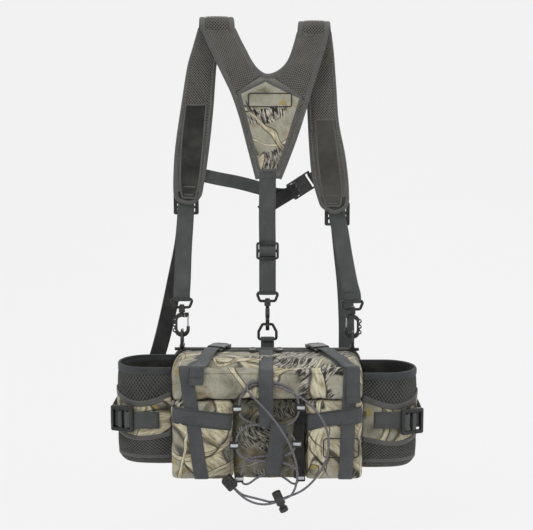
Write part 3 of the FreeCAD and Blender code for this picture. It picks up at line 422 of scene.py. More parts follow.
def stitches(name: str, path: Sequence[Vector], pitch: float = 3.2 * MM,
             radius: float = 0.32 * MM) -> bpy.types.Object:
    """Row of thread stitches along a path.

    Args:
        name: Name of the piece.
        path: Line of the seam in metres.
        pitch: Distance from stitch to stitch.
        radius: Half thickness of the thread.

    Returns:
        The new object.
    """
    marks = spaced(path, pitch)
    points, faces = [], []
    for a, b in zip(marks, marks[1:]):
        along = (b - a)
        side = along.cross(FORWARD).normalized()
        start, end = a + along * 0.14, a + along * 0.86
        base = len(points)
        for t, bulge in ((0.0, 0.2), (0.25, 1.0), (0.75, 1.0), (1.0, 0.2)):
            middle = start.lerp(end, t) + FORWARD * (radius * bulge)
            points += [middle + side * radius, middle + FORWARD * radius,
                       middle - side * radius, middle - FORWARD * radius]
        for ring in range(3):
            for corner in range(4):
                turn = (corner + 1) % 4
                faces.append((base + ring * 4 + corner, base + ring * 4 + turn,
                              base + ring * 4 + 4 + turn, base + ring * 4 + 4 + corner))
        faces.append((base, base + 1, base + 2, base + 3))
        faces.append((base + 12, base + 13, base + 14, base + 15))
    return new_object(name, mesh_from(name, points, faces), shade=False)


# ------------------------------------------------------------------------------------------ shader groups
def linear(text: str, gain: float = 1.0) -> tuple[float, float, float, float]:
    """Linear colour with alpha from a hex colour, multiplied by a gain."""
    channels = [int(text[i:i + 2], 16) / 255 for i in (1, 3, 5)]
    return (*[gain * (c / 12.92 if c <= 0.04045 else ((c + 0.055) / 1.055) ** 2.4) for c in channels], 1.0)


class Graph:
    """Shorthand for adding nodes to a tree and linking them."""

    def __init__(self, tree: bpy.types.NodeTree) -> None:
        """Work on one node tree."""
        self.tree = tree

    def put(self, socket: bpy.types.NodeSocket, value: object) -> None:
        """Link a socket to another one, or set its value."""
        if isinstance(value, bpy.types.NodeSocket):
            self.tree.links.new(value, socket)
        elif value is not None:
            socket.default_value = value

    def add(self, kind: str, inputs: Optional[dict[str, object]] = None,
            **settings: object) -> bpy.types.Node:
        """Add a node.

        Args:
            kind: Node type, without the ShaderNode prefix.
            inputs: Values or sockets by input name.
            settings: Node properties.

        Returns:
            The node.
        """
        node = self.tree.nodes.new("ShaderNode" + kind)
        for key, value in settings.items():
            setattr(node, key, value)
        for key, value in (inputs or {}).items():
            self.put(node.inputs[key], value)
        return node

    def math(self, operation: str, a: object, b: object = None, c: object = None) -> bpy.types.NodeSocket:
        """Result of a Math node."""
        node = self.add("Math", operation=operation)
        for socket, value in zip(node.inputs, (a, b, c)):
            self.put(socket, value)
        return node.outputs[0]

    def mix(self, factor: object, a: object, b: object, blend: str = "MIX") -> bpy.types.NodeSocket:
        """Colour mixed from a to b."""
        node = self.add("Mix", data_type="RGBA", blend_type=blend)
        for index, value in ((0, factor), (6, a), (7, b)):
            self.put(node.inputs[index], value)
        return node.outputs[2]

    def band(self, value: object, low: float, high: float, out: tuple[float, float] = (0.0, 1.0)
             ) -> bpy.types.NodeSocket:
        """Smooth step of a value from low to high."""
        node = self.add("MapRange", {"Value": value, "From Min": low, "From Max": high, "To Min": out[0],
                                     "To Max": out[1]}, interpolation_type="SMOOTHSTEP")
        return node.outputs[0]

    def ramp(self, value: object, stops: Sequence[tuple[float, tuple[float, float, float, float]]],
             hard: bool = False) -> bpy.types.NodeSocket:
        """Colour ramp with the given stops."""
        node = self.add("ValToRGB", {"Fac": value})
        node.color_ramp.interpolation = "CONSTANT" if hard else "LINEAR"
        while len(node.color_ramp.elements) < len(stops):
            node.color_ramp.elements.new(0.5)
        for element, (place, colour) in zip(node.color_ramp.elements, stops):
            element.position = place
            element.color = colour
        return node.outputs[0]

    def noise(self, vector: object, scale: float, detail: float = 2.0,
              rough: float = 0.5) -> bpy.types.Node:
        """Noise texture on a vector."""
        return self.add("TexNoise",
                        {"Vector": vector, "Scale": scale, "Detail": detail, "Roughness": rough})

    def stretched(self, vector: object, scale: Point, turn: Point = (0, 0, 0)) -> bpy.types.NodeSocket:
        """Vector turned (degrees), then scaled along its axes."""
        turned = self.add("Mapping", {"Vector": vector, "Rotation": tuple(math.radians(a) for a in turn)})
        return self.add("Mapping", {"Vector": turned.outputs[0], "Scale": scale}).outputs[0]


def shader_group(name: str, inputs: dict[str, tuple[str, object]], outputs: dict[str, str]
                 ) -> tuple[Graph, bpy.types.Node, bpy.types.Node]:
    """Start a node group with named sockets.

    Args:
        name: Name of the group.
        inputs: Socket kind and default by name.
        outputs: Socket kind by name.

    Returns:
        The graph, its input node and its output node.
    """
    tree = bpy.data.node_groups.new(name, "ShaderNodeTree")
    for key, (kind, default) in inputs.items():
        socket = tree.interface.new_socket(name=key, in_out="INPUT", socket_type="NodeSocket" + kind)
        if default is not None:
            socket.default_value = default
    for key, kind in outputs.items():
        tree.interface.new_socket(name=key, in_out="OUTPUT", socket_type="NodeSocket" + kind)
    graph = Graph(tree)
    return graph, tree.nodes.new("NodeGroupInput"), tree.nodes.new("NodeGroupOutput")


class Effect(Enum):
    """Effects that several finishes share."""
    WOODLAND = "woodland"
    PLAIN_WEAVE = "plain weave"
    RIBBED_WEB = "ribbed web"
    MOULD_GRAIN = "mould grain"
    EDGE_WEAR = "edge wear"
    DUST = "dust"
    CRUMPLE = "crumple"


def woodland_group() -> None:
    """Camouflage print: leaf-litter patches, pale limbs with dark rims, streaked bark and fine twigs."""
    g, source, out = shader_group(Effect.WOODLAND.value,
                                  {"Vector": ("Vector", None), "Scale": ("Float", 1.0),
                                                          "Shade": ("Float", 0.0)},
                                                          {"Color": "Color", "Bark": "Float"})
    point = g.add("VectorMath", {0: source.outputs["Vector"]}, operation="SCALE")
    g.put(point.inputs["Scale"], source.outputs["Scale"])
    bend = g.noise(point.outputs[0], 14.0, 2.0)
    shift = g.add("VectorMath", {0: bend.outputs["Color"], 1: (0.5, 0.5, 0.5)}, operation="SUBTRACT")
    shift = g.add("VectorMath", {0: shift.outputs[0], "Scale": 0.035}, operation="SCALE")
    wavy = g.add("VectorMath", {0: point.outputs[0], 1: shift.outputs[0]}, operation="ADD").outputs[0]
    patches = g.noise(wavy, 24.0, 5.0, 0.62).outputs["Fac"]
    colour = g.ramp(patches,
                    [(0.28, linear("#3f3d30")), (0.37, linear("#6c6a57")), (0.44, linear("#9a9885")),
                              (0.54, linear("#b0ae9c")), (0.61, linear("#a0967d")),
                              (0.68, linear("#7d7157")),
                              (0.76, linear("#453f33"))])
    litter = g.add("TexVoronoi", {"Vector": g.stretched(wavy, (1.0, 1.0, 1.7), (0, 32, 0)), "Scale": 62.0,
                                  "Randomness": 1.0}, feature="F1")
    leaf = g.band(litter.outputs["Distance"], 0.44, 0.30)
    leaf_tone = g.ramp(g.add("SeparateColor", {"Color": litter.outputs["Color"]}).outputs[0],
                       [(0.0, linear("#b39d4a")), (0.3, linear("#bdb599")), (0.5, linear("#857640")),
                        (0.72, linear("#94917f")), (0.86, linear("#4d4834"))], hard=True)
    leaves_here = g.band(g.noise(point.outputs[0], 13.0, 2.0).outputs["Fac"], 0.43, 0.55)
    colour = g.mix(g.math("MULTIPLY", g.math("MULTIPLY", leaf, leaves_here), 0.75), colour, leaf_tone)
    bark_zone = g.band(g.noise(g.stretched(point.outputs[0], (0.8, 0.8, 1.9), (0, -24, 0)), 13.0,
                               1.0).outputs["Fac"],
                       0.575, 0.60)
    fibres = g.noise(g.stretched(wavy, (1.0, 1.0, 6.0), (0, 62, 0)), 95.0, 4.0, 0.7).outputs["Fac"]
    bark = g.ramp(fibres, [(0.42, linear("#15140f")), (0.47, linear("#3a372e")), (0.52, linear("#a5a192")),
                           (0.60, linear("#d8d4c4"))])
    colour = g.mix(bark_zone, colour, bark)
    limbs: list[bpy.types.NodeSocket] = []
    for turn, scale, width, offset in ((-38.0, 6.4, 0.040, 0.0), (24.0, 7.6, 0.030, 3.1),
                                       (82.0, 6.0, 0.022, 7.7)):
        moved = g.add("VectorMath", {0: wavy, 1: (offset, offset * 0.6, offset * 0.3)},
                      operation="ADD").outputs[0]
        field_value = g.noise(g.stretched(moved, (0.55, 0.8, 2.3), (0, turn, 0)), scale, 1.5,
                              0.4).outputs["Fac"]
        away = g.math("ABSOLUTE", g.math("SUBTRACT", field_value, 0.5))
        swell = g.math("MULTIPLY", g.noise(moved, 9.0, 1.0).outputs["Fac"], width * 1.7)
        away = g.math("DIVIDE", away, g.math("MAXIMUM", g.math("SUBTRACT", swell, width * 0.42), 0.0008))
        rim = g.band(away, 1.35, 1.05)
        limb = g.band(away, 1.0, 0.72)
        along = g.noise(g.stretched(wavy, (1.0, 1.0, 7.0), (0, turn, 0)), 55.0, 4.0, 0.65).outputs["Fac"]
        wood = g.ramp(along,
                      [(0.34, linear("#7c7056")), (0.45, linear("#bdb292")), (0.58, linear("#e0dabf"))])
        colour = g.mix(g.math("MULTIPLY", rim, 0.82), colour, linear("#26231b"))
        colour = g.mix(limb, colour, wood)
        limbs.append(limb)
    twig_cells = g.add("TexVoronoi",
                       {"Vector": g.stretched(wavy, (0.7, 0.9, 1.9), (0, -52, 0)), "Scale": 26.0},
                       feature="DISTANCE_TO_EDGE").outputs["Distance"]
    twig_here = g.band(g.noise(point.outputs[0], 19.0, 1.0).outputs["Fac"], 0.55, 0.62)
    twigs = g.math("MULTIPLY", g.band(twig_cells, 0.032, 0.012), twig_here)
    colour = g.mix(g.math("MULTIPLY", twigs, 0.85), colour, linear("#221f18"))
    speck = g.noise(point.outputs[0], 420.0, 2.0, 0.7).outputs["Fac"]
    colour = g.mix(g.band(speck, 0.60, 0.72, (0.0, 0.35)), colour, linear("#2f2c22"))
    hollows = g.band(g.noise(point.outputs[0], 17.0, 2.0).outputs["Fac"], 0.55, 0.72)
    colour = g.mix(g.math("MULTIPLY", hollows, 0.65), colour, linear("#2b291f"))
    colour = g.mix(source.outputs["Shade"], colour, linear("#12130f"))
    g.put(out.inputs["Color"], colour)
    g.put(out.inputs["Bark"], bark_zone)


def plain_weave_group() -> None:
    """Fine over-and-under weave of heavy cloth."""
    g, source, out = shader_group(Effect.PLAIN_WEAVE.value,
                                  {"Vector": ("Vector", None), "Pitch": ("Float", 0.0007)},
                                  {"Height": "Float", "Shade": "Float"})
    axes = g.add("SeparateXYZ", {0: source.outputs["Vector"]})
    beat = g.math("DIVIDE", 2 * math.pi, source.outputs["Pitch"])
    across = g.math("ADD", axes.outputs[0], g.math("MULTIPLY", axes.outputs[1], 0.8))
    warp = g.math("SINE", g.math("MULTIPLY", across, beat))
    weft = g.math("SINE",
                  g.math("MULTIPLY",
                         g.math("ADD", axes.outputs[2], g.math("MULTIPLY", axes.outputs[1], 0.6)),
                                 beat))
    height = g.math("MULTIPLY_ADD", g.math("MULTIPLY", warp, weft), 0.5, 0.5)
    slub = g.noise(source.outputs["Vector"], 700.0, 2.0, 0.6).outputs["Fac"]
    g.put(out.inputs["Height"], g.math("ADD", height, g.math("MULTIPLY", slub, 0.5)))
    g.put(out.inputs["Shade"], g.math("MULTIPLY_ADD", height, 0.3, g.math("MULTIPLY", slub, 0.7)))


def ribbed_web_group() -> None:
    """Webbing: cross ribs broken into lengthwise cords."""
    g, source, out = shader_group(Effect.RIBBED_WEB.value,
                                  {"Run": ("Vector", None), "Rib": ("Float", 0.0016),
                                   "Cord": ("Float", 0.0021)},
                                  {"Height": "Float", "Shade": "Float"})
    axes = g.add("SeparateXYZ", {0: source.outputs["Run"]})
    cords = g.math("DIVIDE", axes.outputs[1], source.outputs["Cord"])
    cord_wave = g.math("ABSOLUTE", g.math("SINE", g.math("MULTIPLY", cords, math.pi)))
    lean = g.math("MULTIPLY", g.math("PINGPONG", cords, 1.0), 0.9)
    ribs = g.math("ADD", g.math("DIVIDE", axes.outputs[0], source.outputs["Rib"]), lean)
    rib_wave = g.math("MULTIPLY_ADD", g.math("SINE", g.math("MULTIPLY", ribs, 2 * math.pi)), 0.5, 0.5)
    height = g.math("ADD", g.math("MULTIPLY", rib_wave, 0.6), g.math("MULTIPLY", cord_wave, 0.4))
    fuzz = g.noise(source.outputs["Run"], 900.0, 2.0, 0.6).outputs["Fac"]
    g.put(out.inputs["Height"], g.math("ADD", height, g.math("MULTIPLY", fuzz, 0.35)))
    g.put(out.inputs["Shade"], g.math("MULTIPLY_ADD", height, 0.75, g.math("MULTIPLY", fuzz, 0.35)))


def mould_grain_group() -> None:
    """Fine spark-eroded grain of moulded plastic, or the drawn surface of wire."""
    g, source, out = shader_group(Effect.MOULD_GRAIN.value,
                                  {"Vector": ("Vector", None), "Scale": ("Float", 1200.0)},
                                  {"Height": "Float", "Rough": "Float"})
    fine = g.add("TexNoise",
                 {"Vector": source.outputs["Vector"], "Scale": source.outputs["Scale"], "Detail": 2.0})
    broad = g.noise(source.outputs["Vector"], 60.0, 3.0)
    g.put(out.inputs["Height"], fine.outputs["Fac"])
    g.put(out.inputs["Rough"], g.math("MULTIPLY_ADD", broad.outputs["Fac"], 0.3, 0.85))


def edge_wear_group() -> None:
    """Mask of rubbed convex edges, broken up by a coarse noise."""
    g, source, out = shader_group(Effect.EDGE_WEAR.value,
                                  {"Vector": ("Vector", None), "Reach": ("Float", 0.03)},
                                  {"Mask": "Float"})
    sharp = g.add("NewGeometry").outputs["Pointiness"]
    rubbed = g.math("DIVIDE", g.math("SUBTRACT", sharp, 0.505), source.outputs["Reach"])
    broken = g.band(g.noise(source.outputs["Vector"], 220.0, 3.0).outputs["Fac"], 0.35, 0.65)
    mask = g.add("Clamp", {0: g.math("MULTIPLY", rubbed, broken)})
    g.put(out.inputs["Mask"], mask.outputs[0])


def dust_group() -> None:
    """Uneven fading and a little dust."""
    g, source, out = shader_group(Effect.DUST.value,
                                  {"Vector": ("Vector", None), "Color": ("Color", (1, 1, 1, 1)),
                                                      "Amount": ("Float", 0.2), "Scale": ("Float", 28.0)},
                                  {"Color": "Color", "Mask": "Float"})
    cloud = g.add("TexNoise",
                  {"Vector": source.outputs["Vector"], "Scale": source.outputs["Scale"], "Detail": 4.0,
                               "Roughness": 0.6})
    mask = g.math("MULTIPLY", g.band(cloud.outputs["Fac"], 0.36, 0.68), source.outputs["Amount"])
    darker = g.mix(source.outputs["Amount"], source.outputs["Color"], (0.012, 0.012, 0.011, 1.0))
    lighter = g.mix(mask, darker, g.mix(0.35, source.outputs["Color"], (0.42, 0.40, 0.36, 1.0)))
    g.put(out.inputs["Color"], lighter)
    g.put(out.inputs["Mask"], mask)


def crumple_group() -> None:
    """Shallow creases and puckers of sewn cloth."""
    g, source, out = shader_group(Effect.CRUMPLE.value,
                                  {"Vector": ("Vector", None), "Scale": ("Float", 22.0)},
                                  {"Height": "Float"})
    slow = g.add("TexNoise",
                 {"Vector": source.outputs["Vector"], "Scale": source.outputs["Scale"], "Detail": 2.0,
                              "Distortion": 0.8})
    crease = g.math("SUBTRACT", 1.0,
                    g.math("ABSOLUTE", g.math("MULTIPLY_ADD", slow.outputs["Fac"], 4.0, -2.0)))
    quick_folds = g.noise(source.outputs["Vector"], 75.0, 2.0).outputs["Fac"]
    g.put(out.inputs["Height"],
          g.math("ADD", g.math("MULTIPLY", crease, 0.7), g.math("MULTIPLY", quick_folds, 0.5)))


GROUP_BUILDERS = (woodland_group, plain_weave_group, ribbed_web_group, mould_grain_group, edge_wear_group,
                  dust_group, crumple_group)


# ------------------------------------------------------------------------------------------ finishes
class Finish:
    """Base of the finishes: opens a material and holds the steps that they share."""
    name: str

    def begin(self) -> tuple[Graph, bpy.types.Node, bpy.types.NodeSocket]:
        """Make the material; returns its graph, its Principled shader and the object coordinates."""
        self_material = bpy.data.materials.new(self.name)
        self_material.use_nodes = True
        graph = Graph(self_material.node_tree)
        shader = self_material.node_tree.nodes["Principled BSDF"]
        return graph, shader, graph.add("TexCoord").outputs["Object"]

    @staticmethod
    def effect(graph: Graph, kind: Effect, **inputs: object) -> bpy.types.Node:
        """Place a shared effect with its own values."""
        node = graph.add("Group")
        node.node_tree = bpy.data.node_groups[kind.value]
        for key, value in inputs.items():
            graph.put(node.inputs[key], value)
        return node

    @staticmethod
    def bump(graph: Graph, shader: bpy.types.Node, *layers: tuple[object, float]) -> None:
        """Chain bump layers, each a height and its depth in metres, into the shader's normal."""
        normal = None
        for height, depth in layers:
            node = graph.add("Bump",
                             {"Height": height, "Distance": depth, "Strength": 1.0, "Normal": normal})
            normal = node.outputs[0]
        graph.put(shader.inputs["Normal"], normal)

    def material(self) -> bpy.types.Material:
        """The finish as a material, made on first use."""
        found = bpy.data.materials.get(self.name)
        return found or self.build()

    def build(self) -> bpy.types.Material:
        """Make the material; every finish has its own."""
        raise NotImplementedError


@dataclass(frozen=True)
class CamoCloth(Finish):
    """Printed heavy cloth: woodland print over a plain weave, with creases."""
    name: str
    scale: float = 1.0
    shade: float = 0.0
    offset: Point = (0.0, 0.0, 0.0)
    turn: Point = (0.0, 0.0, 0.0)
    crease: float = 0.0016

    def build(self) -> bpy.types.Material:
        """Make the material."""
        g, shader, place = self.begin()
        turned = g.add("Mapping", {"Vector": place, "Location": self.offset,
                                   "Rotation": tuple(math.radians(a) for a in self.turn)})
        print_ = self.effect(g, Effect.WOODLAND, Vector=turned.outputs[0], Scale=self.scale,
                             Shade=self.shade)
        weave = self.effect(g, Effect.PLAIN_WEAVE, Vector=place)
        colour = g.mix(0.35, print_.outputs["Color"],
                       g.ramp(weave.outputs["Shade"], [(0.1, (0.25, 0.25, 0.25, 1)),
                                                                                      (0.9,
                                                                                       (1.5, 1.5, 1.5,
                                                                                        1))]),
                       "MULTIPLY")
        faded = self.effect(g, Effect.DUST, Vector=place, Color=colour, Amount=0.10)
        g.put(shader.inputs["Base Color"], faded.outputs["Color"])
        g.put(shader.inputs["Roughness"], g.math("MULTIPLY_ADD", weave.outputs["Shade"], 0.15, 0.70))
        shader.inputs["Sheen Weight"].default_value = 0.12
        shader.inputs["Specular IOR Level"].default_value = 0.3
        crumple = self.effect(g, Effect.CRUMPLE, Vector=place)
        self.bump(g, shader, (crumple.outputs["Height"], self.crease), (weave.outputs["Height"], 0.00022))
        return bpy.data.materials[self.name]


@dataclass(frozen=True)
class Tape(Finish):
    """Woven tape: webbing, binding or elastic, ribbed along its run."""
    name: str
    colour: str
    rib: float = 0.0016
    cord: float = 0.0021
    depth: float = 0.0004
    contrast: float = 0.62
    fade: float = 0.12
    rough: float = 0.78

    def build(self) -> bpy.types.Material:
        """Make the material."""
        g, shader, place = self.begin()
        run = g.add("Attribute", attribute_name="run").outputs["Vector"]
        rib = self.effect(g, Effect.RIBBED_WEB, Run=run, Rib=self.rib, Cord=self.cord)
        base = linear(self.colour)
        low = tuple(c * (1 - self.contrast) for c in base[:3]) + (1.0,)
        high = tuple(min(1.0, c * (1 + self.contrast * 0.55)) for c in base[:3]) + (1.0,)
        colour = g.ramp(rib.outputs["Shade"], [(0.12, low), (0.55, base), (0.95, high)])
        faded = self.effect(g, Effect.DUST, Vector=place, Color=colour, Amount=self.fade, Scale=40.0)
        g.put(shader.inputs["Base Color"], faded.outputs["Color"])
        g.put(shader.inputs["Roughness"],
              g.math("MULTIPLY_ADD", rib.outputs["Shade"], 0.12, self.rough - 0.06))
        shader.inputs["Sheen Weight"].default_value = 0.15
        shader.inputs["Specular IOR Level"].default_value = 0.35
        self.bump(g, shader, (rib.outputs["Height"], self.depth))
        return bpy.data.materials[self.name]


@dataclass(frozen=True)
class Cloth(Finish):
    """Plain cloth or foam facing of one colour, woven and creased."""
    name: str
    colour: str
    pitch: float = 0.0008
    weave_depth: float = 0.00025
    crease: float = 0.0010
    fade: float = 0.18
    rough: float = 0.85
    sheen: float = 0.15

    def build(self) -> bpy.types.Material:
        """Make the material."""
        g, shader, place = self.begin()
        weave = self.effect(g, Effect.PLAIN_WEAVE, Vector=place, Pitch=self.pitch)
        base = linear(self.colour)
        low = tuple(c * 0.55 for c in base[:3]) + (1.0,)
        high = tuple(min(1.0, c * 1.3) for c in base[:3]) + (1.0,)
        colour = g.ramp(weave.outputs["Shade"], [(0.15, low), (0.85, high)])
        faded = self.effect(g, Effect.DUST, Vector=place, Color=colour, Amount=self.fade)
        g.put(shader.inputs["Base Color"], faded.outputs["Color"])
        g.put(shader.inputs["Roughness"],
              g.math("MULTIPLY_ADD", weave.outputs["Shade"], 0.1, self.rough - 0.05))
        shader.inputs["Sheen Weight"].default_value = self.sheen
        shader.inputs["Specular IOR Level"].default_value = 0.3
        crumple = self.effect(g, Effect.CRUMPLE, Vector=place)
        self.bump(g, shader, (crumple.outputs["Height"], self.crease),
                  (weave.outputs["Height"], self.weave_depth))
        return bpy.data.materials[self.name]


@dataclass(frozen=True)
class Moulding(Finish):
    """Moulded plastic or bright wire with grain and rubbed edges."""
    name: str
    colour: str
    worn: str
    rough: float = 0.42
    metal: float = 0.0
    grain: float = 1200.0
    grain_depth: float = 0.00006
    fade: float = 0.08

    def build(self) -> bpy.types.Material:
        """Make the material."""
        g, shader, place = self.begin()
        grain = self.effect(g, Effect.MOULD_GRAIN, Vector=place, Scale=self.grain)
        wear = self.effect(g, Effect.EDGE_WEAR, Vector=place)
        colour = g.mix(g.math("MULTIPLY", wear.outputs["Mask"], 0.6), linear(self.colour),
                       linear(self.worn))
        faded = self.effect(g, Effect.DUST, Vector=place, Color=colour, Amount=self.fade, Scale=70.0)
        g.put(shader.inputs["Base Color"], faded.outputs["Color"])
        g.put(shader.inputs["Roughness"], g.math("MULTIPLY", grain.outputs["Rough"], self.rough))
        shader.inputs["Metallic"].default_value = self.metal
        self.bump(g, shader, (grain.outputs["Height"], self.grain_depth))
        return bpy.data.materials[self.name]


@dataclass(frozen=True)
class Braid(Finish):
    """Braided sheath of the bungee cord, flecked with a lighter yarn."""
    name: str
    colour: str
    fleck: str
    pitch: float = 0.0022

    def build(self) -> bpy.types.Material:
        """Make the material."""
        g, shader, place = self.begin()
        turns = []
        for lean in (1.0, -1.0):
            axes = g.add("SeparateXYZ", {0: g.stretched(place, (1, 1, 1), (0, 45 * lean, 30 * lean))})
            phase = g.math("DIVIDE",
                           g.math("ADD", axes.outputs[0], g.math("MULTIPLY", axes.outputs[1], 0.5)),
                           self.pitch)
            turns.append(g.math("MULTIPLY_ADD", g.math("SINE", g.math("MULTIPLY", phase, 2 * math.pi)),
                                0.5, 0.5))
        braid = g.math("MAXIMUM", *turns)
        fleck = g.band(g.math("MULTIPLY", *turns), 0.62, 0.80)
        colour = g.mix(braid, linear(self.colour, 0.45), linear(self.colour))
        colour = g.mix(g.math("MULTIPLY", fleck, 0.6), colour, linear(self.fleck))
        faded = self.effect(g, Effect.DUST, Vector=place, Color=colour, Amount=0.08)
        g.put(shader.inputs["Base Color"], faded.outputs["Color"])
        g.put(shader.inputs["Roughness"], g.math("MULTIPLY_ADD", braid, -0.12, 0.72))
        shader.inputs["Sheen Weight"].default_value = 0.1
        self.bump(g, shader, (braid, 0.00025))
        return bpy.data.materials[self.name]


@dataclass(frozen=True)
class Reflector(Finish):
    """Silvery glass-bead strip woven into tape."""
    name: str
    colour: str

    def build(self) -> bpy.types.Material:
        """Make the material."""
        g, shader, place = self.begin()
        beads = g.add("TexVoronoi", {"Vector": place, "Scale": 1500.0}).outputs["Distance"]
        colour = g.ramp(beads, [(0.1, linear(self.colour)), (0.7, linear(self.colour, 0.6))])
        g.put(shader.inputs["Base Color"], colour)
        g.put(shader.inputs["Roughness"], g.math("MULTIPLY_ADD", beads, 0.2, 0.30))
        shader.inputs["Metallic"].default_value = 0.25
        self.bump(g, shader, (beads, 0.00008))
        return bpy.data.materials[self.name]


CAMO_FRONT = CamoCloth("camo_cloth_front", scale=0.66, offset=(0.31, 0.0, 0.12))
CAMO_BAND = CamoCloth("camo_cloth_band", scale=0.60, offset=(1.24, 0.2, 0.43), turn=(0, -22, 0))
CAMO_LID = CamoCloth("camo_cloth_lid", scale=0.66, offset=(2.7, 0.1, 0.33), turn=(62, 0, 12))
CAMO_YOKE = CamoCloth("camo_cloth_yoke", scale=0.8, offset=(4.1, 0.0, 0.71), turn=(0, 38, 0), crease=0.0006)
CAMO_SIDES = CamoCloth("camo_cloth_sides", scale=0.75, shade=0.15, offset=(5.3, 0.4, 0.2), turn=(0, 50, 0))
DARK_CAMO = CamoCloth("dark_camo_cloth", scale=1.15, shade=0.45, offset=(7.9, 0.0, 0.6), turn=(0, 64, 0),
                      crease=0.0022)
GREY_WEB = Tape("harness_webbing", "#474a4a")
STRAP_WEB = Tape("strap_webbing", "#45484a", rib=0.0014, cord=0.0019)
# Dark webbing; on the left drop tail and on the chest strap's run and loose end it is painted shade, standing for
# grey webbing in shade.
DARK_WEB_AND_PAINTED_SHADE = Tape("dark_webbing_and_painted_shade", "#1e1f1f", contrast=0.5)
BINDING = Tape("grosgrain_binding", "#555554", rib=0.0011, cord=0.004, depth=0.00022, contrast=0.42)
ELASTIC = Tape("collar_elastic", "#35383a", rib=0.0016, cord=0.0012, depth=0.0005)
MESH_YARN = Cloth("mesh_yarn", "#6a6c69", pitch=0.0005, crease=0.0002)
HARNESS_YARN = Cloth("harness_mesh_yarn", "#8a8781", pitch=0.0005, crease=0.0002)
LINING = Cloth("dark_lining", "#1e1f1e", crease=0.0006)
SPACER = Cloth("spacer_foam", "#2b2b29", pitch=0.0022, weave_depth=0.0005, crease=0.0004)
# The right pad's grip panel is coloured lighter than the left pad's.
GRIP_LEFT = Cloth("grip_cloth", "#1d1f19", pitch=0.0011, weave_depth=0.0003, crease=0.0005, rough=0.62)
GRIP_RIGHT = Cloth("grip_cloth_right", "#3e3c36", pitch=0.0011, weave_depth=0.0003, crease=0.0005, rough=0.6)
PAD_BACKING = Cloth("pad_backing", "#3a3c3b", pitch=0.0010, crease=0.0007)
GUSSET = Cloth("black_gusset", "#131413", crease=0.0012)
ZIP_TAPE = Cloth("zip_tape", "#232423", pitch=0.0009, crease=0.0002)
THREAD = Cloth("sewing_thread", "#6c6c64", pitch=0.0004, weave_depth=0.0001, crease=0.0)
DARK_THREAD = Cloth("dark_thread", "#2a2a28", pitch=0.0004, weave_depth=0.0001, crease=0.0)
BLACK_PLASTIC = Moulding("black_acetal", "#121313", "#3a3a39")
BRIGHT_WIRE = Moulding("bright_wire", "#a9acae", "#d5d6d7", rough=0.3, metal=1.0, grain=500.0)
ZIP_TEETH = Moulding("zip_teeth", "#1b1c1c", "#444444", rough=0.38)
BUNGEE_SHEATH = Braid("bungee_sheath", "#67646b", "#94929b")
REFLECTIVE = Reflector("reflective_strip", "#d6d9dc")


# ------------------------------------------------------------------------------------------ padded forms
def slab(name: str, outline: Sequence[tuple[float, float]], front: float, back: float, edge: float
         ) -> bpy.types.Object:
    """Closed slab with a soft rim.

    Args:
        name: Name of the piece.
        outline: Closed outline in X and Z, millimetres.
        front: Y of the front face, millimetres.
        back: Y of the rear face, millimetres.
        edge: How far the rim is rounded in from the outline, millimetres.

    Returns:
        The new object.
    """
    count = len(outline)
    area = sum(a[0] * b[1] - b[0] * a[1] for a, b in zip(outline, list(outline[1:]) + [outline[0]]))
    inward = []
    for index in range(count):
        before, after = Vector(outline[index - 1]), Vector(outline[(index + 1) % count])
        along = (after - before).normalized()
        inward.append(Vector((-along.y, along.x)) * (1 if area > 0 else -1))
    depth = min(edge, (back - front) / 2)
    levels = [(front + depth * (1 - math.cos(a)), edge * (1 - math.sin(a))) for a in (0.0, 0.5, 1.0,
                                                                                      math.pi / 2)]
    levels += [(back - (y - front), inset) for y, inset in reversed(levels)]
    points = [vec((x + n.x * inset, y, z + n.y * inset)) for y, inset in levels
              for (x, z), n in zip(outline, inward)]
    faces = [(r * count + i, r * count + (i + 1) % count, (r + 1) * count + (i + 1) % count,
              (r + 1) * count + i)
             for r in range(len(levels) - 1) for i in range(count)]
    faces += [tuple(range(count)), tuple((len(levels) - 1) * count + i for i in range(count))]
    return new_object(name, mesh_from(name, points, faces))


def rounded_box(x: tuple[float, float], z: tuple[float, float], corner: float, steps: int = 5
                ) -> list[tuple[float, float]]:
    """Outline of a rounded rectangle in X and Z, millimetres."""
    found = []
    for cx, cz, start in ((x[1] - corner, z[1] - corner, 0), (x[0] + corner, z[1] - corner, 90),
                          (x[0] + corner, z[0] + corner, 180), (x[1] - corner, z[0] + corner, 270)):
        for step in range(steps + 1):
            angle = math.radians(start + 90 * step / steps)
            found.append((cx + corner * math.cos(angle), cz + corner * math.sin(angle)))
    return found


def smooth_outline(points: Sequence[tuple[float, float]], sharp: float = 4.0) -> list[tuple[float, float]]:
    """Closed outline whose corners are rounded by a distance in millimetres."""
    corners = [Vector((x, 0, z)) for x, z in points]
    first = (corners[0] + corners[-1]) / 2
    chain = rounded([first, *corners, first], sharp, 3)
    return [(p.x, p.z) for p in chain[:-1]]


